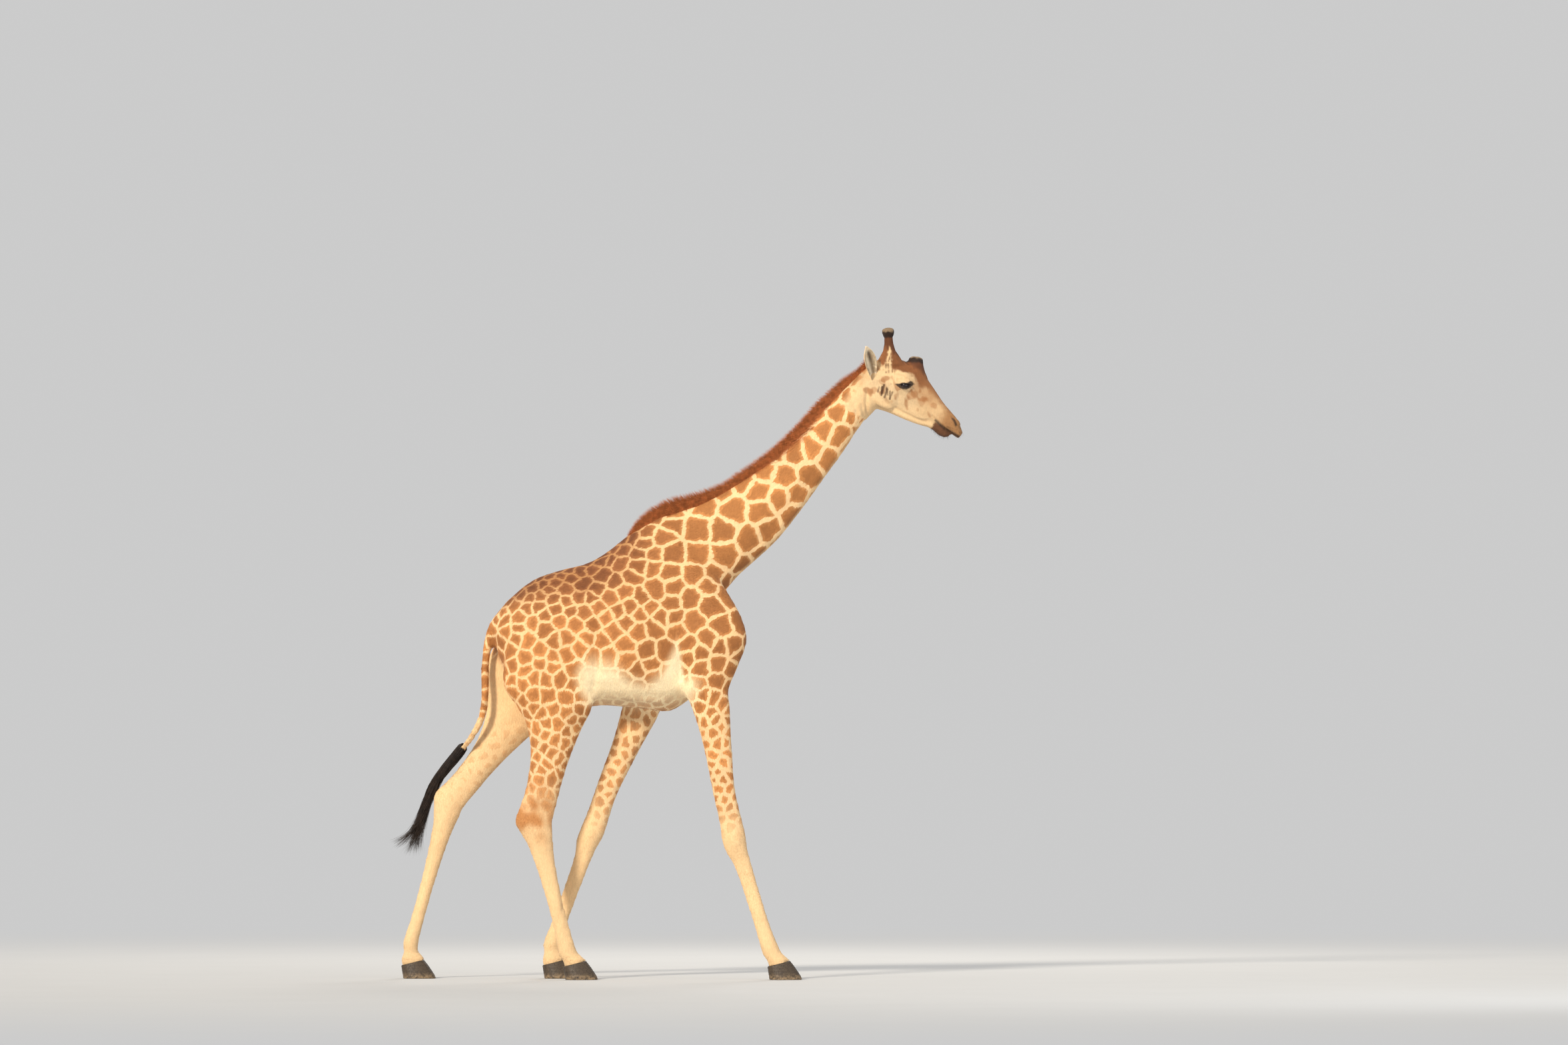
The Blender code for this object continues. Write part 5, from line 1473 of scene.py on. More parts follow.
@dataclass(frozen=True)
class FloorFinish(Finish):
    """A pale plain floor that fades into the background far out."""

    def _colour(self, t: Tree, shader: Node) -> None:
        """Joins floor colour near the animal and plain light far out."""
        place = t.place()
        pale = t.mix(t.noise(place, 1.3, 2.0), (0.55, 0.55, 0.545, 1.0), (0.58, 0.58, 0.575, 1.0))
        t.put(pale, shader.inputs["Base Color"])
        glow = t.add("ShaderNodeEmission", {"Color": (*BACKGROUND, 1.0)})
        far = t.step(t.vector("LENGTH", t.vector("MULTIPLY", place, (1.0, 1.0, 0.0))), 4.0, 16.0)
        mix = t.add("ShaderNodeMixShader", {0: far, 1: shader.outputs[0], 2: glow.outputs[0]})
        t.put(mix.outputs[0], t.tree.nodes["Material Output"].inputs["Surface"])


BACKGROUND = (0.60, 0.60, 0.60)
HIDE = HideFinish("hide", roughness=0.72, sheen=0.12, relief=0.5, relief_depth=0.0022, streak=0.18)
FUR = HideFinish("coat hair", roughness=0.66, sheen=0.10, relief=0.2, relief_depth=0.0008, streak=0.12)
MANE_HAIR = HairFinish(
    "mane hair", roughness=0.62, streak=0.30, root=srgb(150, 80, 40), tip=srgb(200, 120, 68), patchy=0.22
)
TAIL_HAIR = HairFinish(
    "tail hair", roughness=0.42, streak=0.3, root=srgb(38, 27, 21), tip=srgb(58, 42, 31), specular=0.5
)
LASH_HAIR = HairFinish("lash hair", roughness=0.4, streak=0.2, root=srgb(18, 13, 11), tip=srgb(28, 20, 16))
EAR_HAIR = HairFinish(
    "ear hair", roughness=0.7, streak=0.15, root=srgb(226, 206, 174), tip=srgb(246, 232, 206), patchy=0.10
)
HOOF = HoofFinish("hoof horn")
EYE = EyeFinish("eye", roughness=0.12, coat=0.45, specular=0.30)
LID = LidFinish("lid edge", roughness=0.32, specular=0.5)
FLOOR = FloorFinish("floor", roughness=0.9)


# ---------------------------------------------------------------- tufts by geometry nodes
@dataclass(frozen=True)
class TuftTree:
    """The node tree that grows short tapered tufts on a surface that holds their lie, length and density."""

    name: str = "tufts"

    def built(self) -> bpy.types.NodeTree:
        """The tree, made once."""
        found = bpy.data.node_groups.get(self.name)
        if found:
            return found
        group = bpy.data.node_groups.new(self.name, "GeometryNodeTree")
        new = group.interface.new_socket
        new("Surface", in_out="INPUT", socket_type="NodeSocketGeometry")
        numbers = {"Density": 20000.0, "Half Width": 0.0024, "Lift": 0.16, "Stray": 0.25, "Thickness": 0.32}
        for label, default in numbers.items():
            new(label, in_out="INPUT", socket_type="NodeSocketFloat").default_value = default
        new("Seed", in_out="INPUT", socket_type="NodeSocketInt")
        new("Finish", in_out="INPUT", socket_type="NodeSocketMaterial")
        new("Tufts", in_out="OUTPUT", socket_type="NodeSocketGeometry")
        t = Tree(group)
        given, out = t.add("NodeGroupInput").outputs, t.add("NodeGroupOutput")

        wanted = t.maths("MULTIPLY", given["Density"], self._named(t, "hair_density"))
        points = t.add("GeometryNodeDistributePointsOnFaces", distribute_method="RANDOM")
        t.fill(points, {"Mesh": given["Surface"], "Density": wanted, "Seed": given["Seed"]})

        stray = t.vector("SCALE", self._random(t, (-1, -1, -1), (1, 1, 1), 1), scale=given["Stray"])
        lie = t.vector("ADD", self._named(t, "lie", "FLOAT_VECTOR"), stray)
        align = t.add("FunctionNodeAlignRotationToVector", axis="Y", pivot_axis="Z")
        t.fill(align, {"Rotation": points.outputs["Rotation"], "Vector": lie})
        angle = t.maths("MULTIPLY", given["Lift"], self._random(t, 0.5, 1.5, 2))
        angle = t.maths("ADD", angle, self._named(t, "hair_lift"))
        euler = t.add("ShaderNodeCombineXYZ", {0: angle, 1: self._random(t, -0.35, 0.35, 3)})
        turn = t.add("FunctionNodeEulerToRotation", {0: euler.outputs[0]})
        rotate = t.add("FunctionNodeRotateRotation", rotation_space="LOCAL")
        t.fill(rotate, {"Rotation": align.outputs[0], "Rotate By": turn.outputs[0]})

        wide = t.maths("MULTIPLY", given["Half Width"], self._random(t, 0.7, 1.25, 4))
        wide = t.maths("MULTIPLY", wide, self._named(t, "hair_width"))
        long = t.maths("MULTIPLY", self._named(t, "hair_length"), self._random(t, 0.7, 1.12, 5))
        thick = t.maths("MULTIPLY", wide, given["Thickness"])
        size = t.add("ShaderNodeCombineXYZ", {0: wide, 1: long, 2: thick})

        place = t.add("GeometryNodeInstanceOnPoints", {
            "Points": points.outputs["Points"], "Instance": self._tuft(t),
            "Rotation": rotate.outputs[0], "Scale": size.outputs[0],
        })
        real = t.add("GeometryNodeRealizeInstances", {0: place.outputs[0]})
        finish = t.add("GeometryNodeSetMaterial", {"Geometry": real.outputs[0], "Material": given["Finish"]})
        t.put(finish.outputs[0], out.inputs[0])
        return group

    @staticmethod
    def _named(t: Tree, name: str, kind: str = "FLOAT") -> Socket:
        """What the surface holds under this name."""
        return t.add("GeometryNodeInputNamedAttribute", {"Name": name}, data_type=kind).outputs["Attribute"]

    @staticmethod
    def _random(t: Tree, low: float | tuple, high: float | tuple, seed: int) -> Socket:
        """A random number or vector for each tuft."""
        vector = isinstance(low, tuple)
        first = 0 if vector else 2
        node = t.add("FunctionNodeRandomValue", data_type="FLOAT_VECTOR" if vector else "FLOAT")
        t.fill(node, {first: low, first + 1: high, "Seed": seed})
        return node.outputs[0 if vector else 1]

    @staticmethod
    def _tuft(t: Tree) -> Socket:
        """One closed three-sided tuft along +Y, one metre long before it is scaled."""
        cone = t.add("GeometryNodeMeshCone", fill_type="NGON")
        t.fill(cone, {"Vertices": 3, "Side Segments": 1, "Fill Segments": 1})
        t.fill(cone, {"Radius Top": 0.0, "Radius Bottom": 1.0, "Depth": 1.0})
        turned = t.add("GeometryNodeTransform", {"Geometry": cone.outputs["Mesh"]})
        t.fill(turned, {"Rotation": (-math.pi / 2, -math.pi / 2, 0.0)})
        place = t.add("GeometryNodeInputPosition").outputs[0]
        store = t.add("GeometryNodeStoreNamedAttribute", data_type="FLOAT_VECTOR", domain="POINT")
        t.fill(store, {"Geometry": turned.outputs[0], "Name": "tuft_at", "Value": place})
        return store.outputs[0]


@dataclass(frozen=True)
class TuftSizes:
    """The named inputs of the tuft tree for one piece."""

    density: float
    half_width: float
    lift: float = 0.16
    stray: float = 0.25
    thickness: float = 0.32
    seed: int = 1


def grown_tufts(name: str, surface: Object, sizes: TuftSizes, finish: Material) -> Object:
    """Tufts grown on a copy of a surface, as a plain mesh with its own map.

    Args:
        name: the new piece's name.
        surface: an object whose mesh holds lie, hair_density, hair_length, hair_width, hair_lift and root_uv.
        sizes: the tree's inputs.
        finish: the material of the tufts.

    Returns:
        The new object.
    """
    holder = linked(name, surface.data.copy())
    for layer in list(holder.data.uv_layers):
        holder.data.uv_layers.remove(layer)
    modifier = holder.modifiers.new("Tufts", "NODES")
    modifier.node_group = TuftTree().built()
    values = {
        "Density": sizes.density, "Half Width": sizes.half_width, "Lift": sizes.lift, "Stray": sizes.stray,
        "Thickness": sizes.thickness, "Seed": sizes.seed, "Finish": finish,
    }
    for socket in modifier.node_group.interface.items_tree:
        if socket.name in values:
            modifier[socket.identifier] = values[socket.name]
    applied(holder)
    mesh = holder.data
    local, root = read_attribute(mesh, "tuft_at"), read_attribute(mesh, "root_uv")
    keep_attribute(mesh, "hair_along", np.clip(local[:, 1], 0, 1))
    spot = np.column_stack([local[:, 0] * 0.5, local[:, 1] + 0.12 * local[:, 2]])
    keep_map(mesh, root[:, :2] + spot * MAP_SPOT)
    for spare in ("tuft_at", "root_uv", "lie", "hair_density", "hair_length", "hair_width", "hair_lift",
                  "coat_depth"):
        if spare in mesh.attributes:
            mesh.attributes.remove(mesh.attributes[spare])
    mesh.materials.clear()
    mesh.materials.append(finish)
    LOG.info("%s: %d triangles", name, sum(len(p.vertices) - 2 for p in mesh.polygons))
    return holder


def finished(obj: Object, finish: Material, slot: str, *nodes: str) -> Object:
    """Dresses a piece, lets it ride on the body, and hides the solids that it stands for."""
    if finish.name not in obj.data.materials:
        obj.data.materials.clear()
        obj.data.materials.append(finish)
    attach(obj, "root")
    if nodes:
        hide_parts(*nodes)
    return obj


# ---------------------------------------------------------------- the coat
@dataclass
class Coat:
    """Short tufts all over the skin, in pieces that each cover one part of the animal."""

    plan: BodyPlan
    skin: Object
    body_length: float = 0.016
    leg_length: float = 0.013
    face_length: float = 0.0068
    body_density: float = 22500.0
    half_width: float = 0.0017
    leg_top: float = 1.62  # the height under which tufts belong to a leg
    loin: float = -0.52  # where along the body the rump's pieces start

    def grown(self) -> list[Object]:
        """Every piece of the coat."""
        mesh = self.skin.data
        points, normals = vertices_of(mesh), normals_of(mesh)
        at = self.plan.to_head(points)
        head = Skin.head_share(at)
        z = points[:, 2]
        length = self.body_length + (self.leg_length - self.body_length) * ramp(z, 1.7, 0.9)
        length *= 1.0 - 0.25 * bump(z - 0.30, 0.12) + 0.20 * ramp(z, 0.17, 0.13)
        face = self.face_length * (1.0 + 0.4 * ramp(at[:, 0], 0.20, 0.02) - 0.3 * ramp(at[:, 0], 0.50, 0.60))
        length = length + (face - length) * head
        density = 1.0 + 0.25 * ramp(z, 1.6, 0.9) + 3.0 * head
        density *= self._bare(points, at)
        width = 0.58 + 0.42 * ramp(length, 0.008, 0.015)
        belly = bump(np.maximum(z - 1.70, 0), 0.10) * ramp(-normals[:, 2], 0.2, 0.8) * (z > 1.55)
        keep_attribute(mesh, "hair_length", length * (1 + 0.25 * belly))
        keep_attribute(mesh, "hair_width", width)
        keep_attribute(mesh, "hair_lift", 0.05 * belly)
        pieces = []
        for seed, (name, mask) in enumerate(self._parts(points, head).items()):
            keep_attribute(mesh, "hair_density", density * mask)
            sizes = TuftSizes(self.body_density, self.half_width, lift=0.08, stray=0.14, seed=seed + 1)
            tufts = grown_tufts(f"coat_{name}", self.skin, sizes, FUR.material())
            pieces.append(finished(tufts, FUR.material(), "coat"))
        return pieces

    def _bare(self, points: Array, at: Array) -> Array:
        """0 where no tuft may grow: in the eyes' openings, the nostrils and the mouth, and on leg ends."""
        open_skin = np.ones(len(points))
        shape = Skin(self.plan)
        for side in SIDES.values():
            local = shape.in_eye(points, side)
            near = np.linalg.norm(local, axis=1) < 0.05
            open_skin *= 1 - near * ramp(shape.opening(local[:, 0], local[:, 1]), -0.0075, -0.0045)
        flat = at[:, [0, 2]]
        for path, width in ((NOSTRIL, 0.006), (((0.50, -0.018), (0.580, -0.031), (0.682, -0.026)), 0.005)):
            gap = to_path(flat, path)[0]
            open_skin *= 1 - bump(gap, width) * Skin.by_head(at) * (at[:, 0] > 0.4)
        return open_skin * ramp(points[:, 2], 0.086, 0.094)

    def _parts(self, points: Array, head: Array) -> dict[str, Array]:
        """Which points each piece covers."""
        x, y, z = points.T
        leg, ahead = z < self.leg_top, x * 0.8 + z > 2.66
        fore = np.where(y < 0, x > -0.15, x > np.where(z > 1.25, -0.60, -0.85))
        trunk = ~ahead & ~leg
        halves = {
            "head": head > 0.5,
            "neck": (head <= 0.5) & ahead & ~leg,
            "trunk": trunk & (x > self.loin),
            "rump": trunk & (x <= self.loin),
        }
        parts = {
            f"{name}_{label}": mask & ((y < 0) == (side < 0))
            for name, mask in halves.items() for label, side in SIDES.items()
        }
        parts |= {"forelegs": leg & fore, "hindlegs": leg & ~fore}
        return {name: mask.astype(float) for name, mask in parts.items()}


# ---------------------------------------------------------------- horns
@dataclass
class Horns:
    """The three skin-covered horns, parted from the skin along a ring so that no step shows."""

    plan: BodyPlan
    skin: Object
    paired: tuple = ((0.078, 0.050, 0.108), (-0.055, 0.078, 0.286))  # base and tip, in the head's frame
    middle: tuple = ((0.243, 0.0, 0.130), (0.184, 0.0, 0.240))
    cuts: tuple = (0.46, 0.55)  # where the ring is, as a share of the way from base to tip
    reach: float = 0.072  # how far from its axis a horn's faces may lie

    def lines(self) -> dict[str, tuple[Array, Array, float]]:
        """Each horn's base and tip in the head's frame, and its cut."""
        out = {}
        for label, side in SIDES.items():
            base, tip = (mirrored(place, side) for place in self.paired)
            out[f"horn_{label}"] = (base, tip, self.cuts[0])
        out["horn_middle"] = (np.array(self.middle[0]), np.array(self.middle[1]), self.cuts[1])
        return out

    def share(self, at: Array, base: Array, tip: Array) -> tuple[Array, Array]:
        """How far along a horn points in the head's frame are, and how far out from its axis."""
        axis = tip - base
        along = (at - base) @ axis / (axis @ axis)
        out = np.linalg.norm(at - base - along[:, None] * axis, axis=1)
        return along, out

    def coloured(self) -> None:
        """Dark rings and bald caps on the horns."""
        mesh, c = self.skin.data, CoatColours
        at = self.plan.to_head(vertices_of(mesh))
        ground = read_attribute(mesh, "ground")
        swell = np.zeros(len(at))
        for name, (base, tip, _) in self.lines().items():
            along, out = self.share(at, base, tip)
            near = (out < 0.075) * ramp(along, 0.30, 0.45)
            ragged = along + 0.03 * noise_at(at, 150.0, 5)
            if name == "horn_middle":
                ring, cap = ramp(ragged, 0.64, 0.76), ramp(ragged, 0.88, 0.95)
            else:
                ring, cap = ramp(ragged, 0.72, 0.79), ramp(ragged, 0.90, 0.95)
                swell += 0.0035 * near * ramp(along, 0.74, 0.82) * ramp(along, 1.03, 0.95)
            ground = mixed(ground, c.dark, ring * near * 0.92)
            ground = mixed(ground, c.horn_cap, cap * near)
        keep_attribute(mesh, "ground", ground)
        moved_to(mesh, vertices_of(mesh) + normals_of(mesh) * swell[:, None])

    def parted(self) -> dict[str, Object]:
        """Takes the horns off the skin, and closes both."""
        pieces = {}
        for name, (base, tip, cut) in self.lines().items():
            piece = linked(f"{name}_skin", self.skin.data.copy())
            for obj, keep_horn in ((piece, True), (self.skin, False)):
                with edited(obj.data) as bm:
                    centres = np.array([face.calc_center_median() for face in bm.faces])
                    along, out = self.share(self.plan.to_head(centres), base, tip)
                    horn = (along > cut) & (out < self.reach)
                    drop = [face for face, inside in zip(bm.faces, horn, strict=True) if inside != keep_horn]
                    bmesh.ops.delete(bm, geom=drop, context="FACES")
                    edge = [e for e in bm.edges if e.is_boundary]
                    caps = bmesh.ops.holes_fill(bm, edges=edge, sides=0)["faces"]
                    flat = bmesh.ops.triangulate(bm, faces=caps)["faces"]
                    for e in {e for face in flat for e in face.edges}:
                        e.smooth = False
                    bmesh.ops.recalc_face_normals(bm, faces=bm.faces)
            pieces[name] = piece
        return pieces


# ---------------------------------------------------------------- hair of mane and tail
@dataclass
class Mane:
    """A low ridge of hide along the crest of the neck, with upright red-brown hair up to the given top."""

    plan: BodyPlan
    sections: tuple = (  # top x, z; root x, z; half width
        (-0.305, 2.745, -0.262, 2.690, 0.010), (-0.222, 2.862, -0.160, 2.758, 0.018),
        (-0.066, 2.960, -0.036, 2.816, 0.022), (0.098, 3.001, 0.126, 2.858, 0.023),
        (0.262, 3.059, 0.300, 2.926, 0.023), (0.385, 3.137, 0.436, 3.012, 0.023),
        (0.549, 3.255, 0.611, 3.141, 0.023), (0.713, 3.403, 0.782, 3.301, 0.023),
        (0.857, 3.563, 0.929, 3.468, 0.022), (1.013, 3.706, 1.082, 3.620, 0.021),
        (1.092, 3.757, 1.150, 3.680, 0.018), (1.148, 3.815, 1.190, 3.755, 0.010),
    )
    profile: tuple = (  # across the ridge: share of the half width, share of the height
        (-1.0, 0.0), (-0.95, 0.45), (-0.7, 0.85), (0.0, 1.0), (0.7, 0.85), (0.95, 0.45), (1.0, 0.0),
    )
    ridge: float = 0.74  # how high the ridge of hide stands, as a share of the hair
    hairs: TuftSizes = TuftSizes(98000.0, 0.0017, lift=0.05, stray=0.09, thickness=0.6, seed=11)

    def built(self) -> list[Object]:
        """The ridge and its hair."""
        rows = smooth_path(self.sections, 6)
        root = self.plan.placed(rows[:, 2:4])
        rise = self.plan.placed(rows[:, :2]) - root
        sunk = root - 0.12 * rise
        vertices, lie, length, lift = [], [], [], []
        for low, climb, width in zip(sunk, rise, rows[:, 4] * 0.72, strict=True):
            tall = np.linalg.norm(climb)
            way = unit(np.array((climb[0] - 0.25, 0.0, climb[1] - 0.20)))
            for out, up in self.profile:
                share = up * self.ridge
                place = low + climb * 1.12 * share
                vertices.append((place[0], out * width, place[1]))
                lie.append(way)
                length.append(max(tall * (1.10 - share * 1.02), 0.012))
                lift.append(1.25 * up**6)
        ridge = new_object("mane_ridge", vertices, loft_faces(len(rows), len(self.profile)))
        facing_out(ridge)
        count = len(vertices)
        for name, values in (("lie", lie), ("hair_length", length), ("hair_lift", lift),
                             ("hair_width", np.ones(count)), ("hair_density", np.ones(count)),
                             ("hair_along", np.zeros(count))):
            keep_attribute(ridge.data, name, np.array(values))
        unwrapped(ridge)
        material = MANE_HAIR.material()
        hair = grown_tufts("mane_hair", ridge, self.hairs, material)
        return [finished(ridge, material, "mane", "mane"), finished(hair, material, "mane", "mane")]


@dataclass
class TailTuft:
    """The long black hair at the tail's end: three locks of strands that part towards their tips."""

    plan: BodyPlan
    locks: tuple = (  # how many strands each lock has; then spots along it, and its reach at each
        (900, (
            ((-1.306, 0.119, 1.446), 0.036), ((-1.350, 0.150, 1.385), 0.043), ((-1.446, 0.195, 1.270), 0.038),
            ((-1.510, 0.210, 1.180), 0.030), ((-1.545, 0.215, 1.080), 0.030), ((-1.572, 0.220, 0.970), 0.030),
            ((-1.590, 0.222, 0.870), 0.026), ((-1.590, 0.222, 0.770), 0.018),
        )),
        (360, (
            ((-1.330, 0.132, 1.412), 0.020), ((-1.440, 0.190, 1.270), 0.030), ((-1.535, 0.212, 1.120), 0.028),
            ((-1.590, 0.222, 0.980), 0.026), ((-1.650, 0.236, 0.880), 0.018), ((-1.725, 0.252, 0.815), 0.009),
        )),
        (320, (
            ((-1.336, 0.132, 1.402), 0.014), ((-1.450, 0.192, 1.262), 0.030), ((-1.565, 0.214, 1.020), 0.028),
            ((-1.610, 0.222, 0.890), 0.020), ((-1.648, 0.226, 0.760), 0.010),
        )),
    )
    half_width: float = 0.0011
    places: int = 12

    def built(self) -> Object:
        """All strands in one piece."""
        rng = np.random.default_rng(23)
        paths, roots = [], []
        for count, spots in self.locks:
            line = smooth_path([(*p, r) for p, r in spots], 10)
            centre, reach = self.plan.placed(line[:, :3]), line[:, 3]
            start = rng.uniform(0.0, 0.42, count) ** 1.9
            end = np.minimum(start + rng.uniform(0.50, 0.95, count), 1.0)
            drift = rng.normal(0, 1, (count, 3)) * (0.020, 0.014, 0.016) + (-0.016, 0.0, 0.006)
            turn, far = rng.uniform(0, 2 * math.pi, count), np.sqrt(rng.uniform(0.0, 1.0, count))
            roots += list(np.column_stack([turn / 6.5, 0.02 + 0.9 * start]))
            for k in range(count):
                share = np.linspace(start[k], end[k], self.places)
                spot = share * (len(line) - 1)
                low = np.minimum(spot.astype(int), len(line) - 2)
                part = (spot - low)[:, None]
                middle = centre[low] * (1 - part) + centre[low + 1] * part
                width = np.interp(spot, np.arange(len(line)), reach)
                bend = turn[k] + 0.9 * np.sin(share * 6 + turn[k])
                reached = far[k] * (0.75 + 0.25 * share) * np.sqrt(np.clip(share / 0.06, 0.05, 1.0))
                ahead = unit(np.gradient(middle, axis=0))
                flat = unit(np.cross(ahead, (0.0, 1.0, 0.0)))
                side = flat * np.cos(bend)[:, None] + np.cross(ahead, flat) * np.sin(bend)[:, None]
                paths.append(middle + side * (width * reached)[:, None] + drift[k] * (share**4)[:, None])
        radius = self.half_width * rng.uniform(0.7, 1.3, (len(paths), 1))
        obj = hairs("tail_hair", np.array(paths), radius, 0.25, np.array(roots))
        LOG.info("tail hair: %d triangles", len(obj.data.polygons))
        return finished(obj, TAIL_HAIR.material(), "tuft", "tail_tuft")


# ---------------------------------------------------------------- ears
@dataclass
class Ear:
    """A leaf-shaped ear: a thin cup with a rolled rim, and long pale hair before a dark hollow."""

    plan: BodyPlan
    label: str
    base: tuple = (1.204, 0.080, 3.704)
    tip: tuple = (1.163, 0.196, 3.886)
    opening: tuple = (0.55, 0.80, -0.05)
    stations: tuple = (  # share of the length, width, depth of the cup
        (-0.03, 0.038, 0.020), (0.03, 0.044, 0.024), (0.12, 0.055, 0.029), (0.25, 0.071, 0.034),
        (0.42, 0.085, 0.036), (0.60, 0.086, 0.031), (0.78, 0.068, 0.020), (0.92, 0.034, 0.009),
        (1.00, 0.008, 0.002),
    )
    thickness: float = 0.0045
    across_steps: int = 20
    long_hairs: int = 420

    def _frame(self) -> tuple[Array, Array, Array, Array, Array]:
        """Base, tip, and the ear's axes: along, out of the cup, across."""
        side = SIDES[self.label]
        base, tip = (self.plan.placed(mirrored(place, side)) for place in (self.base, self.tip))
        way = mirrored(self.opening, side)
        axis = unit(tip - base)
        opening = unit(way - axis * (way @ axis))
        return base, tip, axis, opening, np.cross(axis, opening)

    def built(self) -> list[Object]:
        """The cup, its coat, and the long hair inside it."""
        base, tip, axis, opening, across = self._frame()
        rows = smooth_path(self.stations, 5)
        n = self.across_steps
        turn = np.linspace(-1, 1, n + 1)
        curl, lean = np.sign(turn) * np.abs(turn) ** 0.9, 1.0 - 0.35 * np.abs(turn) ** 3
        thick = self.thickness * (0.55 + 0.45 * np.sqrt(np.maximum(1 - turn**6, 0)))
        vertices = []
        for share, width, depth in rows:
            centre = base + (tip - base) * share
            sideways, deep = curl * width / 2, depth * (turn**2 - 0.5)
            shell = centre + across * sideways[:, None] + opening * deep[:, None]
            outer = shell - opening * (thick * lean)[:, None]
            inner = (shell + opening * (thick * 0.4)[:, None])[1:-1][::-1]
            vertices += [*outer, *inner]
        cup = new_object(f"ear_{self.label}_cup", vertices, loft_faces(len(rows), 2 * n))
        facing_out(cup)
        inside = np.tile([0.0] * (n + 1) + [1.0] * (n - 1), len(rows))
        edge = np.tile(np.abs(np.concatenate([turn, turn[1:-1][::-1]])), len(rows))
        self._dressed(cup.data, inside, np.repeat(rows[:, 0], 2 * n), edge, axis)
        unwrapped(cup)
        sizes = TuftSizes(150000.0, 0.0011, lift=0.14, stray=0.18, seed=41 + SIDES[self.label])
        fur = grown_tufts(f"ear_{self.label}_coat", cup, sizes, FUR.material())
        node = f"ear_{self.label}"
        return [finished(cup, HIDE.material(), "coat", node), finished(fur, FUR.material(), "coat", node),
                self._long_hair(node)]

    def _dressed(self, mesh: Mesh, inner: Array, along: Array, edge: Array, axis: Array) -> None:
        """The cup's colours and the lie of its hair."""
        c, count = CoatColours, len(inner)
        points = vertices_of(mesh)
        # the ear's own cream, brightened as painted light against the shade inside the cup
        ground = mixed(c.ear, c.cream_warm, 0.35 * ramp(noise_at(points, 90.0, 9), 0.2, 0.8))
        base, tip = self._frame()[:2]
        ahead = points[:, 0] - (base[0] + along * (tip[0] - base[0]))
        dark = inner * ramp(edge, 0.80, 0.55) * ramp(ahead, -0.012, 0.008) * ramp(along, 0.90, 0.74)
        ground = mixed(ground, c.ear_hollow, dark)
        ground = mixed(ground, c.dark, dark * ramp(edge, 0.60, 0.25) * ramp(along, 0.36, 0.58) * 0.85)
        ground = mixed(ground, c.face_pale, (1 - inner) * 0.4)
        density = ramp(along, 0.0, 0.08) * (1 - 0.75 * inner * ramp(edge, 0.85, 0.6))
        for name, values in (("ground", ground), ("patch", ground), ("root_at", points),
                             ("patch_amount", np.zeros(count)), ("half_gap", np.full(count, 0.01)),
                             ("lie", np.tile(axis, (count, 1))), ("hair_lift", 0.10 * ramp(edge, 0.8, 1.0)),
                             ("hair_width", np.ones(count)), ("hair_length", 0.008 + 0.004 * inner),
                             ("hair_density", density)):
            keep_attribute(mesh, name, values)

    def _long_hair(self, node: str) -> Object:
        """Long pale hair from the cup's front wall and rim, lying across the hollow."""
        base, tip, axis, opening, across = self._frame()
        rng, count = np.random.default_rng(51 + SIDES[self.label]), self.long_hairs
        share = rng.uniform(0.10, 0.86, count)
        edge = np.where(rng.uniform(size=count) < 0.5, -1.0, 1.0) * rng.uniform(0.62, 0.97, count)
        table = np.array(self.stations)
        width, depth = np.interp(share, table[:, 0], table[:, 1]), np.interp(share, table[:, 0], table[:, 2])
        root = (
            base + (tip - base) * share[:, None] + across * (edge * width / 2)[:, None]
            + opening * (depth * (edge**2 - 0.5) + 0.001)[:, None]
        )
        on = axis * rng.uniform(0.7, 1.2, (count, 1))
        inwards = across * (np.sign(edge) * rng.uniform(0.15, 0.6, count))[:, None]
        way = unit(on - inwards + opening * rng.uniform(0.05, 0.35, (count, 1)))
        length = rng.uniform(0.016, 0.036, count) * (1.05 - 0.5 * share)
        paths = arched(root, way, length, opening * 0.12 * length[:, None], 6)
        spots = np.column_stack([0.5 + 0.45 * edge, share])
        obj = hairs(f"ear_{self.label}_hair", paths, 0.0006, 0.3, spots)
        return finished(obj, EAR_HAIR.material(), "coat", node)


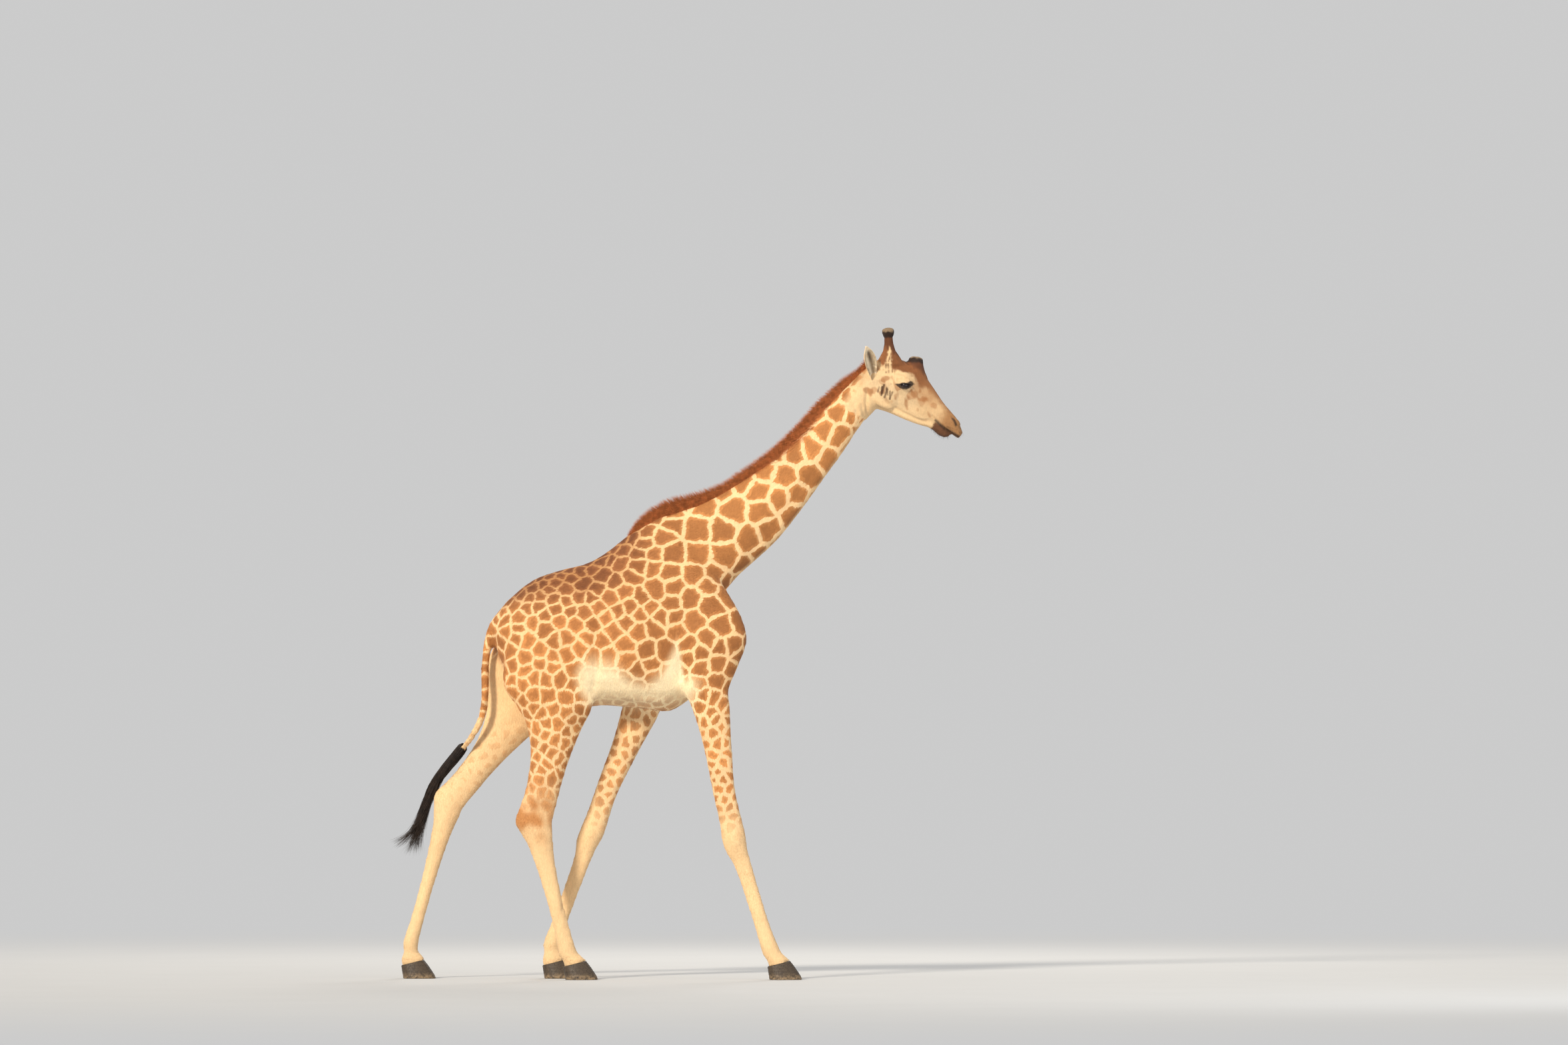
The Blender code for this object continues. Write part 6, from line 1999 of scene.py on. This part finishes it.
# ---------------------------------------------------------------- eyes, lashes, whiskers
@dataclass
class Eye:
    """One eye: ball with a raised cornea, the dark wet edge of the lids, and its lashes."""

    plan: BodyPlan
    skin: Skin
    label: str
    rim: float = 0.0019  # half the thickness of the lids' edge
    lashes: int = 120

    def built(self) -> list[Object]:
        """Ball, lid edge and lashes."""
        return [self._ball(), self._lid_edge(), self._lashes()]

    def _ball(self) -> Object:
        """The eyeball, with its pole towards the outside."""
        side = SIDES[self.label]
        mesh = bpy.data.meshes.new("eye")
        with edited(mesh) as bm:
            bmesh.ops.create_uvsphere(bm, u_segments=64, v_segments=40, radius=1.0)
        local = vertices_of(mesh)
        bulge = 1.0 + 0.035 * bump(np.hypot(local[:, 0], local[:, 1]), 0.38) * (local[:, 2] > 0)
        axes = self.skin.eye_axes(side)
        shape = local * bulge[:, None] * EYE_RADIUS
        moved_to(mesh, self.plan.eye(side) + shape @ axes)
        keep_attribute(mesh, "eye_at", local)
        obj = linked(f"eye_{self.label}_ball", mesh)
        facing_out(obj)
        return finished(obj, EYE.material(), "eye", f"eye_{self.label}")

    def _lid_edge(self) -> Object:
        """A thin closed roll round the opening."""
        path = self.skin.lid_edge(SIDES[self.label])
        count, sides = len(path), 8
        ahead = unit(np.roll(path, -1, 0) - np.roll(path, 1, 0))
        out = unit(path - self.plan.eye(SIDES[self.label]))
        across = np.cross(ahead, out)
        turns = np.arange(sides) * 2 * math.pi / sides
        ring = path[:, None] + self.rim * (
            across[:, None] * np.cos(turns)[None, :, None] * 1.3 + out[:, None] * np.sin(turns)[None, :, None]
        ) + (out * self.rim * 0.6)[:, None]
        faces = loft_faces(count, sides, looped=True)
        obj = new_object(f"eye_{self.label}_lids", ring.reshape(-1, 3), faces)
        facing_out(obj)
        return finished(obj, LID.material(), "eye")

    def _lashes(self) -> Object:
        """Long upper lashes that arch out and droop, and a few short lower ones."""
        side = SIDES[self.label]
        rng = np.random.default_rng(61 + side)
        along, up, out = self.skin.eye_axes(side)
        path = self.skin.lid_edge(side, 400)
        upper = rng.integers(14, 186, self.lashes)
        lower = rng.integers(225, 375, self.lashes // 4)
        spot = np.concatenate([upper, lower])
        top = np.concatenate([np.ones(len(upper)), -np.ones(len(lower))])
        root = path[spot] + out * 0.0016
        lean = ((path[spot] - self.plan.eye(side)) @ along) / 0.0245
        ahead = out * rng.uniform(0.75, 1.0, (len(spot), 1))
        aside = along * (0.55 * lean + rng.normal(0, 0.08, len(spot)))[:, None]
        way = unit(ahead + aside + up * (top * rng.uniform(0.05, 0.25, len(spot)))[:, None])
        length = np.where(top > 0, rng.uniform(0.016, 0.028, len(spot)), rng.uniform(0.006, 0.011, len(spot)))
        droop = np.where(top > 0, 0.42, 0.15) * length
        paths = arched(root, way, length, -up * droop[:, None], 7)
        spots = np.column_stack([spot / 410, 0.5 + 0.2 * top])
        obj = hairs(f"eye_{self.label}_lashes", paths, 0.00055, 0.25, spots)
        return finished(obj, LASH_HAIR.material(), "eye")


@dataclass
class Whiskers:
    """Sparse stiff hairs on chin and lips."""

    plan: BodyPlan
    skin: Object
    count: int = 150

    def built(self) -> Object:
        """All whiskers in one piece."""
        rng = np.random.default_rng(71)
        points, normals = vertices_of(self.skin.data), normals_of(self.skin.data)
        at = self.plan.to_head(points)
        chin = (at[:, 0] > 0.50) & (at[:, 2] < -0.045) & Skin.by_head(at)
        lip = (at[:, 0] > 0.56) & (np.abs(at[:, 2] + 0.01) < 0.02) & (np.abs(at[:, 1]) > 0.02)
        on_chin = rng.choice(np.flatnonzero(chin), self.count * 2 // 3)
        index = np.concatenate([on_chin, rng.choice(np.flatnonzero(lip), self.count // 3)])
        forward = self.plan.turn @ np.array((1.0, 0.0, 0.0))
        way = unit(normals[index] + 0.25 * forward + rng.normal(0, 0.2, (len(index), 3)))
        length = rng.uniform(0.008, 0.022, len(index))
        paths = arched(points[index], way, length, np.outer(length, (0.0, 0.0, -0.2)), 5)
        obj = hairs("whiskers", paths, 0.0005, 0.3, at[index][:, [0, 2]] + (0.1, 0.5))
        return finished(obj, LASH_HAIR.material(), "coat")


# ---------------------------------------------------------------- hooves
@dataclass
class Hoof:
    """A cloven hoof: two claws with a gap at the toe, ringed with growth, flat on the floor."""

    plan: BodyPlan
    node: str
    slope: float = math.tan(math.radians(14.0))
    height: float = 0.1000
    sharp: float = math.radians(42)  # edges that turn more than this stay sharp
    outline: tuple = (  # share of the height, half length, half width, shift forward
        (0.000, 0.0940, 0.0690, 0.0420), (0.020, 0.0985, 0.0725, 0.0420), (0.060, 0.1000, 0.0738, 0.0408),
        (0.200, 0.0962, 0.0727, 0.0360), (0.450, 0.0880, 0.0690, 0.0240), (0.650, 0.0815, 0.0660, 0.0150),
        (0.800, 0.0760, 0.0630, 0.0080), (0.900, 0.0728, 0.0606, 0.0030), (0.965, 0.0700, 0.0580, 0.0010),
        (1.000, 0.0655, 0.0540, 0.0000),
    )

    def built(self) -> Object:
        """Both claws in one piece."""
        middle = hoof_middle(self.node)
        rows = smooth_path(self.outline, 3)
        arc, inner = 22, 10
        turn, back = np.linspace(0.0, math.pi, arc), np.linspace(-1, 1, inner + 2)[1:-1]
        round_x, round_y = np.sign(np.cos(turn)) * np.abs(np.cos(turn)) ** 0.85, np.sin(turn) ** 0.75
        vertices, faces = [], []
        for claw in (-1, 1):
            faces += loft_faces(len(rows), arc + inner, len(vertices))
            for level, (share, length, width, ahead) in enumerate(rows):
                swell = 1.0 + 0.006 * math.sin(level * 2.4)
                xs = np.concatenate([length * swell * round_x, back * length])
                gap = self._gap(xs, length)
                ys = gap + np.concatenate([width * swell * round_y, np.zeros(inner)]) * (1 - gap / width)
                zs = share * (self.height - 0.0008 + (xs + ahead) * self.slope)
                vertices += [*np.column_stack([middle[0] + xs + ahead, middle[1] + claw * ys, zs])]
        obj = new_object(f"{self.node}_claws", vertices, faces)
        facing_out(obj)
        obj.data.set_sharp_from_angle(angle=self.sharp)
        return finished(obj, HOOF.material(), "hoof", self.node)

    @staticmethod
    def _gap(x: Array, length: float) -> Array:
        """Half the space between the claws: closed at the heel, open towards the toe."""
        share = np.clip((x + length) / (2 * length), 0, 1)
        return 0.0012 + 0.0085 * ramp(share, 0.25, 0.95)


# ---------------------------------------------------------------- floor, light and camera
@dataclass
class Studio:
    """A plain pale floor, soft light, and a camera far off on the animal's right with a long lens."""

    plan: BodyPlan
    distance: float = 90.0
    aim: tuple = (0.0, 0.0, 2.0)  # what the fill and the rim light point at
    camera_height: float = 2.2
    frame_width: float = 9.647  # metres across the view at the animal
    middle: tuple = (0.658, 2.809)  # x and z at the view's centre
    sensor: float = 36.0

    def set_up(self) -> None:
        """Floor, lights, background and camera."""
        self._floor()
        self._lights()
        self._camera()

    def _floor(self) -> None:
        """A disc whose far part has the background's own light."""
        sides, radii = 96, (3.0, 8.0, 20.0, 60.0, 200.0)
        turns = np.arange(sides) * 2 * math.pi / sides
        vertices = [(0.0, 0.0, 0.0)] + [(r * math.cos(a), r * math.sin(a), 0.0) for r in radii for a in turns]
        faces = [(0, 1 + k, 1 + (k + 1) % sides) for k in range(sides)]
        for near in range(1, 1 + (len(radii) - 1) * sides, sides):
            for k in range(sides):
                after = (k + 1) % sides
                faces.append((near + k, near + sides + k, near + sides + after, near + after))
        floor = new_object("floor", np.array(vertices), faces)
        floor.data.materials.append(FLOOR.material())

    def _lights(self) -> None:
        """A broad soft sun as the key from the hind right, a weak fill and a rim."""
        world = bpy.data.worlds.new("studio")
        world.use_nodes = True
        shader = world.node_tree.nodes["Background"]
        shader.inputs[0].default_value = (*BACKGROUND, 1.0)
        shader.inputs[1].default_value = 1.0
        bpy.context.scene.world = world
        sun = bpy.data.lights.new("key", "SUN")
        sun.energy, sun.color, sun.angle = 3.3, (1.0, 0.92, 0.80), math.radians(9.0)
        self._aimed(linked("key", sun), Vector((4.2, 7.5, -4.8)))
        for name, place, size, power, colour in (
            ("fill", (7.0, -6.0, 3.6), 4.0, 110.0, (0.90, 0.95, 1.0)),
            ("rim", (1.5, 8.0, 7.0), 3.0, 260.0, (1.0, 0.97, 0.93)),
        ):
            light = bpy.data.lights.new(name, "AREA")
            light.shape = "DISK"
            light.size = size
            light.energy = power
            light.color = colour
            lamp = linked(name, light)
            lamp.location = place
            self._aimed(lamp, Vector(self.aim) - Vector(place))

    def _camera(self) -> None:
        """The camera looks level-ish across the animal and is turned up a little towards the view's centre."""
        x, z = self.middle[0] + self.plan.shift[0], self.middle[1]
        camera = bpy.data.cameras.new("camera")
        camera.sensor_width = self.sensor
        camera.lens = self.sensor * self.distance / self.frame_width
        camera.clip_start, camera.clip_end = 1.0, 1000.0
        holder = linked("camera", camera)
        holder.location = (x, -self.distance, self.camera_height)
        self._aimed(holder, Vector((x, 0.0, z)) - holder.location)
        bpy.context.scene.camera = holder

    @staticmethod
    def _aimed(obj: Object, way: Vector) -> None:
        """Turns a lamp or the camera to look along a way, upright."""
        obj.rotation_euler = way.to_track_quat("-Z", "Y").to_euler()


def main() -> None:
    """Builds every piece in order."""
    logging.basicConfig(level=logging.INFO, format="%(message)s")
    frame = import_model()
    bpy.context.scene.view_settings.view_transform = "Standard"
    plan = BodyPlan.measured()
    skin = Skin(plan).built(frame["nodes"])
    Markings(plan, skin.obj).painted()
    horns = Horns(plan, skin.obj)
    horns.coloured()
    unwrapped(skin.obj)
    Coat(plan, skin.obj).grown()
    for name, piece in horns.parted().items():
        finished(piece, HIDE.material(), "horn", name)
    finished(skin.obj, HIDE.material(), "coat", *FLESH)
    Mane(plan).built()
    TailTuft(plan).built()
    for label in SIDES:
        Ear(plan, label).built()
        Eye(plan, skin, label).built()
    Whiskers(plan, skin.obj).built()
    for name in HOOF_NODES:
        Hoof(plan, name).built()
    Studio(plan).set_up()


if __name__ == "__main__":
    main()
